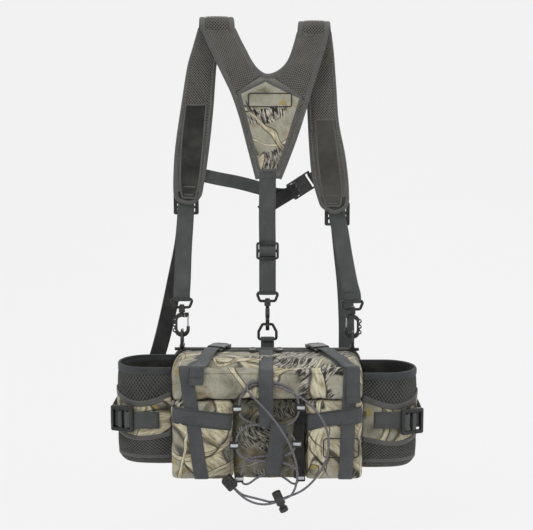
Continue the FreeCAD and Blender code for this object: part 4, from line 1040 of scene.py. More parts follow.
@dataclass(frozen=True)
class Stuffing:
    """How a sewn cover is swelled by a cloth simulation; lengths in metres."""
    voxel: float = 5 * MM
    pressure: float = 4.0
    cap: float = 6 * MM
    slack: float = 0.015
    last_frame: int = 20

    def swell(self, piece: bpy.types.Object, held: Callable[[Vector], bool],
              fineness: int = 1) -> bpy.types.Object:
        """Remesh a piece, blow it up as cloth and smooth it.

        Args:
            piece: The slack cover.
            held: Test of a point: whether the cover is sewn down there.
            fineness: Subdivisions added at the end.

        Returns:
            The same object.
        """
        remesh = piece.modifiers.new("remesh", "REMESH")
        remesh.mode = "VOXEL"
        remesh.voxel_size = self.voxel
        applied(piece)
        even = piece.modifiers.new("even", "SMOOTH")
        even.iterations = 3
        applied(piece)
        self.simulate(piece, held)
        soft = piece.modifiers.new("fine", "SUBSURF")
        soft.levels = soft.render_levels = fineness
        applied(piece)
        piece.data.shade_smooth()
        return piece

    def simulate(self, piece: bpy.types.Object, held: Callable[[Vector], bool]) -> None:
        """Run the cloth simulation and cap how far each point moves."""
        rest = [v.co.copy() for v in piece.data.vertices]
        sewn = piece.vertex_groups.new(name="sewn")
        sewn.add([i for i, point in enumerate(rest) if held(point)], 1.0, "REPLACE")
        cloth = piece.modifiers.new("cloth", "CLOTH")
        settings = cloth.settings
        settings.quality = 5
        settings.use_pressure = True
        settings.uniform_pressure_force = self.pressure
        settings.shrink_min = -self.slack
        settings.tension_stiffness = settings.compression_stiffness = 18
        settings.bending_stiffness = 1.2
        settings.effector_weights.gravity = 0
        settings.vertex_group_mass = "sewn"
        cloth.point_cache.frame_start = 1
        cloth.point_cache.frame_end = self.last_frame
        scene = bpy.context.scene
        for frame_number in range(1, self.last_frame + 1):
            scene.frame_set(frame_number)
        applied(piece)
        piece.vertex_groups.clear()
        scene.frame_set(1)
        for vertex, start in zip(piece.data.vertices, rest):
            shift = vertex.co - start
            if shift.length > self.cap:
                vertex.co = start + shift.normalized() * self.cap


class Skin:
    """Ray and nearest-point questions about the surface of one or more pieces."""

    def __init__(self, *pieces: bpy.types.Object) -> None:
        """Take the pieces' meshes as they are now."""
        self.trees = [BVHTree.FromPolygons([v.co for v in p.data.vertices],
                                           [f.vertices for f in p.data.polygons])
                      for p in pieces]

    def hit(self, start: Vector, direction: Vector, otherwise: Vector) -> Vector:
        """First point that a ray meets, or a fallback."""
        best, reach = otherwise, 1e9
        for tree in self.trees:
            place, _, _, distance = tree.ray_cast(start, direction)
            if place is not None and distance < reach:
                best, reach = place, distance
        return best

    def front(self, x: float, z: float, otherwise: float, lift: float = 0.0) -> Vector:
        """Point on the front at X and Z (mm), lifted towards the viewer by a distance in mm."""
        found = self.hit(vec((x, -260, z)), REARWARD, vec((x, otherwise, z)))
        return found + Vector((0, -lift * MM, 0))

    def top(self, x: float, y: float, otherwise: float, lift: float = 0.0) -> Vector:
        """Point on the top at X and Y (mm), lifted by a distance in mm."""
        found = self.hit(vec((x, y, 200)), Vector((0, 0, -1)), vec((x, y, otherwise)))
        return found + Vector((0, 0, lift * MM))


def wrinkle(piece: bpy.types.Object, depth: float, scale: float, seed: float,
            stretch: Point = (1, 1, 1)) -> None:
    """Move the points of a soft piece in and out along its normals by a creased noise.

    Args:
        piece: The soft piece.
        depth: Greatest movement in metres.
        scale: Creases per metre.
        seed: Offset into the noise.
        stretch: Scale of the noise along each axis.
    """
    normals = [v.normal.copy() for v in piece.data.vertices]
    for vertex, normal in zip(piece.data.vertices, normals):
        at = Vector(a * b for a,
                    b in zip(vertex.co, stretch)) * scale + Vector((seed, seed * 0.7, seed * 0.3))
        vertex.co += normal * (depth * (1 - 2.6 * abs(noise.noise(at))) * 0.6
                               + depth * 0.5 * noise.noise(at * 2.3))


# ------------------------------------------------------------------------------------------ studio
@dataclass
class Studio:
    """Camera, pale floor and backdrop, and soft lamps."""
    eye: Point = (0.0, -2.270, 0.579)
    aim: Point = (0.0, 0.0, 0.207)
    lens: float = 103.6
    floor_z: float = -0.205
    pale: str = "#f3f3f3"

    def camera(self) -> None:
        """Place the camera and make it the scene's."""
        data = bpy.data.cameras.new("camera")
        data.lens = self.lens
        data.sensor_width = 36.0
        camera = bpy.data.objects.new("camera", data)
        camera.location = self.eye
        camera.rotation_euler = (Vector(self.aim) - Vector(self.eye)).to_track_quat("-Z", "Y").to_euler()
        bpy.context.scene.collection.objects.link(camera)
        bpy.context.scene.camera = camera

    def backdrop_material(self) -> bpy.types.Material:
        """Paper that shows pale to the camera and in reflections, and takes the object's shadow."""
        material = bpy.data.materials.new("studio_paper")
        material.use_nodes = True
        g = Graph(material.node_tree)
        paper = material.node_tree.nodes["Principled BSDF"]
        paper.inputs["Base Color"].default_value = (0.86, 0.86, 0.86, 1.0)
        paper.inputs["Roughness"].default_value = 0.9
        seen = g.add("LightPath")
        direct = g.math("MAXIMUM", seen.outputs["Is Camera Ray"], g.math(
            "MAXIMUM", seen.outputs["Is Glossy Ray"], seen.outputs["Is Transmission Ray"]))
        glow = g.add("Emission", {"Color": linear(self.pale), "Strength": 1.0})
        mixed = g.add("MixShader",
                      {0: g.math("MULTIPLY", direct, 0.94), 1: paper.outputs[0], 2: glow.outputs[0]})
        g.put(material.node_tree.nodes["Material Output"].inputs["Surface"], mixed.outputs[0])
        return material

    def set(self) -> None:
        """Lay the floor and backdrop as one swept sheet, and light them."""
        rows = [(-3.2, 0.0), (-1.0, 0.0), (1.6, 0.0), (2.2, 0.02), (2.7, 0.2), (3.0, 0.7), (3.1, 1.6),
                (3.1, 4.2)]
        points = [Vector((x, y, self.floor_z + z)) for y, z in rows for x in (-6.0, 6.0)]
        faces = [(i * 2, i * 2 + 1, i * 2 + 3, i * 2 + 2) for i in range(len(rows) - 1)]
        sweep = new_object("studio_sweep", mesh_from("studio_sweep", points, faces))
        sweep.data.materials.append(self.backdrop_material())
        for name, place, size, power in (("key", (-1.6, -2.0, 2.2), 1.6, 38.0),
                                         ("fill", (2.2, -1.7, 1.2), 1.8, 22.0),
                                         ("top", (0.2, 0.3, 2.6), 1.8, 24.0),
                                         ("rear", (0.6, 2.2, 1.5), 1.6, 16.0)):
            lamp = bpy.data.lights.new(name, "AREA")
            lamp.size = size
            lamp.energy = power
            holder = bpy.data.objects.new(name, lamp)
            holder.location = place
            holder.rotation_euler = (Vector(self.aim) - Vector(place)).to_track_quat("-Z", "Y").to_euler()
            bpy.context.scene.collection.objects.link(holder)
        world = bpy.data.worlds.new("studio")
        world.use_nodes = True
        sky = world.node_tree.nodes["Background"]
        sky.inputs["Color"].default_value = linear(self.pale)
        sky.inputs["Strength"].default_value = 0.55
        bpy.context.scene.world = world
        bpy.context.scene.view_settings.view_transform = "Standard"


# ------------------------------------------------------------------------------------------ bungee cord
@dataclass
class Bungee:
    """The laced cord over the recess, its two tails, the loops that guide it, its lock and its end."""
    diameter: float = 3.2 * MM
    lacing: Sequence[Point] = (
        (0, -138.5, 57.2), (-14, -138.7, 57.6), (-25, -139, 56), (-33.5, -139.2, 46.5), (-38.6, -139, 35),
        (-39.5, -139, 21), (-37.5, -137.6, 9), (-27, -133, 1), (-13, -130.5, -5), (3, -130.2, -8.5),
        (19, -130.8, -11.5), (32, -134.5, -15), (40, -138.6, -22), (41.5, -139, -33), (38, -137.8, -43),
        (27, -133.3, -49.5), (12, -130.4, -51), (-2, -130.2, -51.2), (-15, -130.3, -52.3),
        (-26, -131.5, -55.8),
        (-34, -135.5, -64.5), (-37, -139, -77), (-35.3, -138.8, -89.5), (-27, -137.2, -91.8),
        (-16, -134, -84),
        (-3, -131.5, -77), (12, -130.6, -76.5), (27, -133.4, -83), (37.5, -137, -91), (45, -138.8, -89),
        (46.5, -139, -77), (42, -138.3, -66.5), (31.5, -136.1, -61), (16, -134.2, -59), (1, -133.9, -57.6),
        (-13, -134.6, -57.3), (-25, -135.6, -56.4), (-36, -137.6, -50.5), (-43, -139, -41),
        (-44, -139, -30),
        (-42, -138.6, -19), (-36, -136.9, -9.5), (-26, -135.1, -4.2), (-12, -134.1, -3.4), (4, -134, -4.6),
        (19, -134.4, -6), (32, -136.3, -3), (42, -138.6, 6), (47, -139, 18), (46.3, -139, 32),
        (40.5, -139, 43.5), (29, -138.8, 54), (15, -138.6, 60), (0, -138.5, 61))
    tail_a: Sequence[Point] = (
        (0, -138.5, 61), (-12, -138.7, 61.6), (-22.5, -140.3, 62), (-29, -143.6, 56.5), (-26, -146.6, 47.5),
        (-14, -148.5, 36), (3, -149.5, 18), (19, -150, -3), (32, -150.5, -25), (41, -150.8, -48),
        (44.8, -151, -70), (42.5, -151.5, -90), (36, -152, -103), (28.9, -152, -106.5),
        (8.75, -152, -115.5),
        (-8, -151.8, -117), (-24, -151.6, -112.5), (-38.5, -152, -102.05), (-46.5, -152, -92.5))
    tail_b: Sequence[Point] = (
        (0, -138.5, 57.2), (13, -138.9, 55.6), (28, -142.5, 50.5), (44, -146.8, 43.5), (60, -150, 33),
        (73, -151, 19.5), (82.5, -151.5, 4), (88, -151.5, -13), (89.3, -151, -31), (86, -150.5, -50),
        (78, -150, -67.5), (67, -149.3, -83), (54, -148.6, -95.5), (41, -148.2, -102.5),
        (28.9, -148.2, -106.5),
        (8.75, -148.2, -115.5), (-8, -148.3, -110.5), (-24, -148.4, -106.5), (-38.3, -148.2, -102.3),
        (-46.5, -148.2, -92.5))
    loops: Sequence[tuple[float, float, int]] = ((-39.5, 21.5, -1), (-44.0, -32.5, -1), (-37.0, -82.0, -1),
                                                 (47.0, 23.5, 1), (41.5, -30.0, 1), (46.5, -80.5, 1))
    cord_y: float = -139.0

    def curve(self, name: str, route: Sequence[Point]) -> bpy.types.Object:
        """One smooth cord along its route."""
        data = bpy.data.curves.new(name, "CURVE")
        data.dimensions = "3D"
        data.bevel_depth = self.diameter / 2
        data.bevel_resolution = 3
        data.resolution_u = 8
        data.use_fill_caps = True
        spline = data.splines.new("NURBS")
        spline.points.add(len(route) - 1)
        for point, place in zip(spline.points, route):
            point.co = (*vec(place), 1.0)
        spline.order_u = 3
        spline.use_endpoint_u = True
        piece = bpy.data.objects.new(name, data)
        bpy.context.scene.collection.objects.link(piece)
        return piece

    def cords(self) -> None:
        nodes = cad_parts
        ends = [nodes[n] for n in ("cord_lock_barrel", "cord_lock_button", "cord_lock_spring", "cord_end")]
        for name, route, length, far_end, others in (
                ("lacing", self.lacing, 0.692, "object", []),
                ("tail_a", self.tail_a, 0.308, "fitting", ends),
                ("tail_b", self.tail_b, 0.325, "fitting", ends)):
            piece = self.curve("bungee_" + name + "_cord", route)
            finish_piece(piece, BUNGEE_SHEATH, PACK, ["bungee_" + name])

    def guides(self) -> None:
        """Webbing loops sewn at the pockets' inner edges, each with a bright strip round its front."""
        for index, (x, z, side) in enumerate(self.loops, 1):
            front, back = self.cord_y - 2.6, -135.4
            ends = sorted((x - side * 3.2, x + side * 9))
            outer = ends[0] if side > 0 else ends[1]
            inner = ends[1] if side > 0 else ends[0]
            path = rounded([vec((inner, back, z)), vec((inner, front + 0.6, z)),
                            vec((x + side * 2, front - 0.4, z)),
                            vec((outer, front + 0.9, z)), vec((outer - side * 0.4, self.cord_y + 2.9, z)),
                            vec((inner - side * 0.5, back + 0.1, z))], 2.4 * MM, 4)
            loop = ribbon(f"cord_loop_{index}", path, UPWARD, 10 * MM, 0.8 * MM, 4)
            finish_piece(loop, DARK_WEB_AND_PAINTED_SHADE, PACK, ["cord_loops"])
            bright = [p + Vector((0, -0.62 * MM, 0)) for p in path[4:16]]
            strip = ribbon(f"reflective_strip_{index}", bright, UPWARD, 4.4 * MM,
                           0.5 * MM, 2)
            finish_piece(strip, REFLECTIVE)

    def dress(self) -> None:
        """Finish the lock, its spring and the end block, which keep their own shapes."""
        for node in ("cord_lock_barrel", "cord_lock_button", "cord_end"):
            paint(node, BLACK_PLASTIC)
        paint("cord_lock_spring", BRIGHT_WIRE)


def paint(node: str, finish: Finish) -> None:
    """Give a carried-over node its finish."""
    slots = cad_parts[node].material_slots
    for slot in slots:
        slot.material = finish.material()
    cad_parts[node].data.shade_smooth()
    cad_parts[node].data.set_sharp_from_angle(angle=math.radians(35))
    log.info("node %s finished with %s", node, finish.name)


# ------------------------------------------------------------------------------------------ lumbar bag
@dataclass
class LumbarBag:
    """Main compartment, its front pockets and recess, lid, piping, back pad and zip."""
    x: tuple[float, float] = (-138.0, 139.0)
    z: tuple[float, float] = (-87.0, 80.0)
    front: float = -110.0
    pocket_front: float = -133.6
    band_low: float = 30.0
    left_inner: float = -48.0
    right_inner: float = 55.0
    stuffing: Stuffing = field(default_factory=Stuffing)
    skin: Optional[Skin] = None

    def shell(self) -> bpy.types.Object:
        """The main compartment with its lid, full and a little sagging."""
        body = slab("bag_body", rounded_box(self.x, self.z, 18), self.front + 2, -10.6, 9)
        self.stuffing.swell(body, lambda p: p.y > -16 * MM)
        for vertex in body.data.vertices:
            place = vertex.co
            place.y = max(place.y, (self.front - 1.5) * MM)
            place.x = min(max(place.x, (self.x[0] - 1.2) * MM), (self.x[1] + 1.2) * MM)
            height = (place.z / MM - self.z[0]) / (self.z[1] - self.z[0])
            middle = math.cos(min(1.0, abs(place.x / MM) / 140) * math.pi / 2)
            place.z -= 1.6 * MM * middle * height * (1 if place.y < -34 * MM else 0.3)
        wrinkle(body, 0.9 * MM, 17, 3.1, (0.7, 1.0, 1.5))
        for vertex in body.data.vertices:
            vertex.co.z = min(vertex.co.z, 81.6 * MM)
        return finish_piece(body, CAMO_LID, PACK, ["bag_shell"])

    def pocket(self, name: str, x: tuple[float, float], z: tuple[float, float], finish: Finish, node: str,
               seed: float, front: float) -> bpy.types.Object:
        """One front pocket: a crowned pouch whose front stays behind the straps."""
        pouch = slab(name, rounded_box(x, z, 7), front + 3, self.front - 0.8, 8)
        Stuffing(voxel=4 * MM, cap=5 * MM).swell(pouch, lambda p: p.y > (self.front - 4) * MM)
        for vertex in pouch.data.vertices:
            vertex.co.y = max(vertex.co.y, (front - 1.6) * MM)
            vertex.co.x = min(max(vertex.co.x, (x[0] - 0.3) * MM), (x[1] + 0.3) * MM)
        wrinkle(pouch, 0.8 * MM, 24, seed, (1.0, 1.0, 0.6))
        return finish_piece(pouch, finish, PACK, [node])

    def centre(self) -> bpy.types.Object:
        """Dark stretch panel bulging in the recess between the pockets."""
        x = (self.left_inner + 0.6, self.right_inner - 0.6)

        def bulge(u: float, v: float) -> Vector:
            """Point of the panel: flat at its seams, full low in the middle."""
            across, up = 2 * u - 1, v
            full = (1 - across ** 4) * math.sin(math.pi * min(1.0, up * 0.9 + 0.08)) ** 0.5
            y = lerp(-112.0, -126.5, full) + 1.6 * math.sin(5 * across + 3 * up) * (1 - up) * 0.6
            fold = 1.1 * math.sin(11 * u + 4.0 * v) * math.sin(math.pi * v)
            return vec((lerp(x[0], x[1], u), y + fold, lerp(-86.0, 29.0, v)))

        panel = skin("recess_panel", bulge, 64, 72, 1.2 * MM)
        wrinkle(panel, 0.5 * MM, 45, 8.2)
        return finish_piece(panel, DARK_CAMO, PACK, ["centre_panel"])

    def gusset(self) -> bpy.types.Object:
        """Black gusset along the right pocket's inner edge."""
        def fall(u: float, v: float) -> Vector:
            """Point of the gusset: a soft fold from the panel to the pocket's edge."""
            x = lerp(39.5, 54.6, u) + 1.4 * math.sin(9 * v)
            y = lerp(-126.2, -134.2,
                     math.sin(u * math.pi / 2)) - 0.8 * math.sin(math.pi * u) * math.sin(7 * v)
            return vec((x, y, lerp(-85.0, 24.0, v)))

        fold = skin("recess_gusset", fall, 12, 60, 1.0 * MM)
        return finish_piece(fold, GUSSET)

    def back_pad(self) -> None:
        """Rear face: rim of backing cloth and a raised foam pad with sewn channels under open mesh."""
        rim = slab("back_rim", rounded_box(self.x, self.z, 18), -9.9, -4.2, 2.6)
        remesh = rim.modifiers.new("remesh", "REMESH")
        remesh.mode = "VOXEL"
        remesh.voxel_size = 2.6 * MM
        applied(rim)
        finish_piece(rim, PAD_BACKING, PACK, ["back_panel"])
        channels = (-44.0, 4.0)

        def pad(u: float, v: float) -> Vector:
            """Point of the foam pad with its two sewn channels and soft edges."""
            x, z = lerp(-104, 104, u), lerp(-74, 66, v)
            corner = max(0.0, abs(x) - 84) ** 2 + max(0.0, abs(z + 4) - 50) ** 2
            edge = min(1.0, min(104 - abs(x), 70 - abs(z + 4), 20 - min(20.0, math.sqrt(corner))) / 9)
            crown = math.sin(max(0.0, edge) * math.pi / 2)
            for channel in channels:
                crown *= 1 - 0.75 * math.exp(-((z - channel) / 3.0) ** 2)
            for upright in (-36.0, 36.0):
                crown *= 1 - 0.55 * math.exp(-((x - upright) / 2.6) ** 2)
            if corner > 400:
                pull = 20 / math.sqrt(corner)
                x = math.copysign(84 + (abs(x) - 84) * pull, x) if abs(x) > 84 else x
                z = -4 + math.copysign(50 + (abs(z + 4) - 50) * pull, z + 4) if abs(z + 4) > 50 else z
            return vec((x, -4.4 + 5.6 * crown, z))

        foam = skin("back_foam", pad, 84, 60, 1.0 * MM)
        finish_piece(foam, SPACER)
        cover = lattice("back_mesh", lambda u, v: pad(u, v) + Vector((0, 0.5 * MM, 0)), (44, 30), 0.4 * MM)
        finish_piece(cover, MESH_YARN)

    def piping(self) -> None:
        """Bound seam along the top of the back edge and down round its corners."""
        arc = rounded_box((self.x[0] - 0.6, self.x[1] + 0.6), (self.z[0], self.z[1] + 0.9), 18.5, 8)
        top = [(x, z) for x, z in arc if z > self.z[1] - 24]
        path = [vec((x, -10.2, z - 1.0 * (x > 0) * x / 139)) for x, z in top]
        bead = tube("top_piping_bead", spaced(smooth(path, 3), 3.2 * MM), 2.5 * MM, 10, up=REARWARD)
        finish_piece(bead, BINDING, PACK, ["top_piping"])
        side = [(x, z) for x, z in arc if z < self.z[1] - 20]
        low = tube("rear_seam_bead", spaced([vec((x, -10.2, z + 0.6)) for x, z in side], 4 * MM),
                   1.7 * MM, 8,
                   up=REARWARD)
        finish_piece(low, BINDING)

    def seams(self) -> None:
        """Hem of the upper pocket, welts at the pockets' inner edges, and rows of stitching."""
        rows = {"band_hem_thread": [(x, 33.2) for x in range(-128, 131, 6)],
                "band_top_thread": [(x, 71.5) for x in range(-124, 127, 6)],
                "left_pocket_thread": [(-52.5, z) for z in range(-80, 25, 5)],
                "right_pocket_thread": [(59.5, z) for z in range(-80, 25, 5)]}
        for name, marks in rows.items():
            path = [self.skin.front(x, z, self.pocket_front, 0.2) for x, z in marks]
            finish_piece(stitches(name, path), DARK_THREAD)
        hem = [self.skin.front(x, self.band_low + 1.4, self.pocket_front, 0.4) for x in range(-132, 134, 5)]
        welt = tube("band_hem", spaced(smooth(hem, 3), 4 * MM), 1.3 * MM, 8, up=UPWARD)
        finish_piece(welt, CAMO_BAND)
        for name, x in (("left_pocket_welt", self.left_inner - 1.2),
                        ("right_pocket_welt", self.right_inner + 1.2)):
            edge = [self.skin.front(x - math.copysign(1.5, x), z, self.pocket_front + 3, 0.2)
                    for z in range(-82, 27, 4)]
            finish_piece(tube(name, spaced(smooth(edge, 3), 4 * MM), 1.2 * MM, 8), BINDING)

    def patch(self) -> None:
        """Blank name patch with a thin dark rim on the right pocket."""
        outline = rounded_box((82.0, 133.0), (-52.0, -23.5), 4, 3)
        rim = [self.skin.front(x, z, self.pocket_front, 0.7) for x, z in outline]
        piece = tube("patch_rim", spaced(rim + [rim[0]], 2.4 * MM), 0.75 * MM, 6, up=REARWARD)
        finish_piece(piece, DARK_WEB_AND_PAINTED_SHADE)

    def zip(self) -> None:
        """Zip tape with its coil, under the sliders at the back of the lid."""
        y, half = -25.0, 68.0
        tape_path = [vec((x, y, 81.4 + 0.4 * math.cos(x / 70))) for x in range(-68, 69, 4)]
        tape = ribbon("zip_tape", tape_path, REARWARD, 20 * MM, 0.8 * MM, 6)
        finish_piece(tape, ZIP_TAPE, PACK, ["zip_chain"])
        teeth = []
        pitch = 1.9
        for step in range(int(2 * half / pitch)):
            x = -half + step * pitch
            side = 1.1 if step % 2 else -1.1
            path = [vec((x, y - 2.0 + side, 82.2)), vec((x + 0.3, y + side, 82.9)),
                    vec((x, y + 2.0 + side, 82.2))]
            teeth.append(tube("tooth", smooth(path, 3), 0.5 * MM, 6))
        finish_piece(joined("zip_teeth", teeth), ZIP_TEETH)
        for side in ("left", "right"):
            paint("zip_slider_" + side, BLACK_PLASTIC)

    def build(self) -> None:
        """Make every piece of the bag."""
        body = self.shell()
        band = self.pocket("upper_pocket_pouch", (self.x[0] + 2, self.x[1] - 2), (self.band_low, 79.0),
                           CAMO_BAND,
                           "upper_front_pocket", 12.7, self.pocket_front - 1.2)
        left = self.pocket("left_pocket_pouch", (self.x[0], self.left_inner),
                           (self.z[0], self.band_low + 1.0),
                           CAMO_FRONT, "front_pocket_left", 5.5, self.pocket_front)
        right = self.pocket("right_pocket_pouch", (self.right_inner, self.x[1]),
                            (self.z[0], self.band_low + 1.0),
                            CAMO_FRONT, "front_pocket_right", 7.9, self.pocket_front)
        self.centre()
        self.gusset()
        self.skin = Skin(body, band, left, right)
        self.back_pad()
        self.piping()
        self.seams()
        self.patch()
        self.zip()


# ------------------------------------------------------------------------------------------ bag straps
@dataclass
class BagStraps:
    """Compression straps that lie on the bag, with the tabs of its rings and buckles."""
    bag: LumbarBag
    slim: float = 20.0
    lid_slant: float = 21.8
    strap_front: float = -137.0
    strap_top: float = 83.6

    def lid_strap(self, side: str, mouth: Point, front_x: float, foot_x: float, tail_x: float,
                  tail_z: float) -> None:
        """Lid strap up the front, over the top to the buckle, with the loose hemmed end lying on it.

        Args:
            side: Left or right.
            mouth: Middle of the buckle's mouth, millimetres.
            front_x: Where the strap crosses the front top edge.
            foot_x: Where it meets the lower edge.
            tail_x: Where the loose end crosses the front top edge.
            tail_z: How low the loose end hangs.
        """
        sign = 1 if side == "right" else -1
        slant = math.radians(self.lid_slant)

        def ahead(reach: float) -> tuple[float, float]:
            """X and Y at a distance in front of the mouth."""
            return mouth[0] + sign * reach * math.sin(slant), mouth[1] - reach * math.cos(slant)

        start = ahead(9.0)
        front = self.strap_front
        along_top = [(lerp(start[0], front_x, t), lerp(start[1], -131.0, t)) for t in (0, 0.2, 0.4, 0.6,
                                                                                       0.8, 1.0)]
        path = [vec((start[0], start[1], self.strap_top))]
        path += [self.bag.skin.top(x, y, 80.0, 1.0) for x, y in along_top[1:5]]
        path += [vec((front_x, -132.0, 82.0)), vec((front_x, front, 75.0))]
        for t in (0.10, 0.20, 0.30, 0.40, 0.50, 0.62, 0.8, 0.9):
            path.append(self.outermost(lerp(front_x, foot_x, t), lerp(75.0, -86.0, t), front + 0.8, 0.9))
        for y, z, angle in ((-134.0, -83.0, 30.0), (-130.0, -86.0, 60.0), (-122.0, -87.0, 90.0),
                            (-112.0, -87.0, 90.0)):
            away = Vector((0, -math.cos(math.radians(angle)), -math.sin(math.radians(angle))))
            rest = vec((foot_x, y, z))
            path.append(self.bag.skin.hit(rest + away * 0.05, -away, rest) + away * 1.0 * MM)
        line = spaced(smooth(path, 6), 4 * MM)
        lower = ribbon(f"lid_strap_{side}", line, self.level, self.slim * MM)
        finish_piece(lower, STRAP_WEB, PACK, ["lid_straps"])
        over = [vec((start[0], start[1], 88.3))]
        over += [vec((lerp(start[0], tail_x, t), lerp(start[1], -128.0, t), 88.7)) for t in (0.1, 0.2)]
        over += [self.bag.skin.top(lerp(start[0], tail_x, t), lerp(start[1], -128.0, t), 80.0,
                                   5.4 - 2.4 * t)
                 for t in (0.4, 0.6, 0.85)]
        over += [vec((tail_x, -136.8, 82.2)), vec((tail_x + sign * 0.3, front - 2.6, 73.0))]
        drop = [lerp(70.0, tail_z, t) for t in (0.35, 0.7, 1.0)]
        over += [self.outermost(tail_x + sign * 0.5 * i, z, front - 2.7, 3.0 + 0.4 * i)
                 for i, z in enumerate(drop, 1)]
        end = over[-1]
        hem = [end + Vector((0, -0.6 * MM, -1.2 * MM)), end + Vector((0, -1.7 * MM, 0)),
               end + Vector((0, -1.7 * MM, 8 * MM))]
        loose = spaced(smooth(over, 6), 4 * MM) + hem
        tail = ribbon(f"lid_strap_tail_{side}", loose, self.level, self.slim * MM)
        finish_piece(tail, STRAP_WEB, PACK, ["lid_straps"])
        fold = [vec((*ahead(reach), z))
                for reach, z in ((9.0, 88.0), (6.0, 87.6), (4.2, 85.7), (6.0, 83.9), (9.0, 83.6))]
        turn = ribbon(f"lid_buckle_turn_{side}", smooth(fold, 4), self.level, self.slim * MM,
                      1.1 * MM)
        finish_piece(turn, STRAP_WEB, f"lid_buckle_male_{side}")

    def brow(self, x: float, angle: float) -> Vector:
        """Point just over the rounded edge between the front and the lid, at an angle from level."""
        away = Vector((0, -math.cos(math.radians(angle)), math.sin(math.radians(angle))))
        rest = vec((x, -129.0, 73.0))
        return self.bag.skin.hit(rest + away * 0.06, -away, rest + away * 0.008) + away * 1.8 * MM

    def outermost(self, x: float, z: float, otherwise: float, lift: float) -> Vector:
        """Point over the front of the bag that also bridges the seams just above and below it."""
        point = self.bag.skin.front(x, z, otherwise, lift)
        for dx, dz in ((0, -8), (0, 8), (-9, 0), (9, 0), (0, -4), (0, 4)):
            point.y = min(point.y, self.bag.skin.front(x + dx, z + dz, otherwise, lift).y)
        return point

    @staticmethod
    def level(index: int, along: Vector) -> Vector:
        """Level direction across a strap that runs along."""
        flat = Vector((along.x, along.y, 0))
        if flat.length < 0.35:
            return RIGHTWARD
        side = Vector((-along.y, along.x, 0)).normalized()
        return side if side.x > 0 else -side

    def centre(self) -> None:
        """Centre strap from the zip over the lid and the cord, and the slanted strap below it."""
        x = -0.8
        path = [vec((x, -30.0, 83.0)), self.bag.skin.top(x, -50.0, 80.0, 1.0),
                self.bag.skin.top(x, -80.0, 80.0, 1.0),
                *[self.bag.skin.top(x, y, 80.0, 1.8) for y in (-100.0, -112.0, -119.0, -125.0)],
                self.brow(x, 50.0),
                self.brow(x, 22.0), vec((x, -142.2, 62.0)), vec((x, -142.2, 50.0)),
                vec((x, -140.0, 33.0)), vec((x, -137.2, 22.0)),
                vec((x + 0.4, -136.0, 8.0)), vec((x + 1.0, -136.4, -6.0))]
        strap = ribbon("centre_strap_web", spaced(smooth(path, 6), 4 * MM), RIGHTWARD,
                       21.0 * MM)
        finish_piece(strap, STRAP_WEB, PACK, ["centre_strap"])
        slanted = [vec((17.5, -138.4, 0.0)), vec((16.0, -138.4, -18.0)), vec((13.2, -138.0, -40.0)),
                   vec((10.4, -137.7, -60.0)), vec((8.4, -137.4, -78.0))]
        lower = ribbon("slanted_strap_web", spaced(smooth(slanted, 6), 4 * MM), RIGHTWARD,
                       22.5 * MM)
        finish_piece(lower, STRAP_WEB)
        edge = [vec((28.0, -139.2, -1.5)), vec((7.5, -139.2, -2.0))]
        finish_piece(stitches("slanted_strap_thread", edge, 2.4 * MM),
                     DARK_THREAD)

    def across(self) -> None:
        """Side straps across the two lower pockets, sewn over the lid straps and rising to the corners."""
        for side, inner, outer, crossing in (("left", -50.0, -136.0, -106.0),
                                             ("right", 57.0, 137.5, 117.4)):
            steps = 26
            path = []
            for i in range(steps + 1):
                x, z = lerp(inner, outer, i / steps), lerp(-0.7, 11.0, i / steps)
                lift = 0.45 + 1.9 * math.exp(-((x - crossing) / 13.0) ** 4)
                path.append(self.bag.skin.front(x, z, self.strap_front, lift))
            strap = ribbon(f"level_strap_{side}", path, UPWARD, 25 * MM, 1.1 * MM)
            finish_piece(strap, STRAP_WEB, PACK, ["horizontal_straps"])
            for inset in (1.8, 23.2):
                seam = [p + Vector((0, -0.75 * MM, (12.5 - inset) * MM)) for p in path[1:-1]]
                finish_piece(stitches(f"level_thread_{side}_{int(inset)}", seam),
                             DARK_THREAD)

    def tabs(self) -> None:
        """Sewn tabs round the D-rings' bars and the lid buckles' bars."""
        rings = {"centre": ("x", 20.0), "left": ("y", 18.0), "right": ("y", 18.0)}
        for name, (axis, width) in rings.items():
            low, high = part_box("d_ring_" + name)
            bar = Vector(((low.x + high.x) / 2, (low.y + high.y) / 2, low.z + 2.1 * MM))
            side = RIGHTWARD if axis == "x" else REARWARD
            swing = side.cross(UPWARD).normalized()
            loop_line = round_bar(bar, swing, UPWARD, 3.3 * MM, range(-80, 283, 26))
            root = Vector((bar.x, -3.1 * MM, 66.5 * MM))
            loop = ribbon(f"ring_tab_{name}", loop_line, side, width * MM, 1.2 * MM)
            finish_piece(loop, GREY_WEB, PACK, ["sewn_tabs"])
            foot_width = 20.0 if axis == "x" else 11.0
            foot = [root, Vector((bar.x, -3.1 * MM, lerp(66.5 * MM, bar.z, 0.6))),
                    Vector((bar.x, bar.y + (1.5 * MM if axis == "x" else 1.0 * MM), bar.z - 3.2 * MM))]
            tab = ribbon(f"ring_tab_foot_{name}", smooth(foot, 6), RIGHTWARD, foot_width * MM)
            finish_piece(tab, GREY_WEB)
        for side, mouth, sign in (("left", (-76.0, -30.0, 85.7), -1), ("right", (81.0, -30.0, 85.7), 1)):
            slant = math.radians(self.lid_slant)
            bar = vec((mouth[0] - sign * 26 * math.sin(slant), mouth[1] + 26 * math.cos(slant), mouth[2]))
            across = Vector((math.cos(slant), sign * math.sin(slant), 0))
            swing = Vector((-across.y, across.x, 0))
            loop_line = round_bar(bar, swing, UPWARD, 2.7 * MM, range(-70, 231, 30))
            loop = ribbon(f"buckle_tab_{side}", loop_line, across, 19 * MM, 1.0 * MM)
            finish_piece(loop, GREY_WEB)
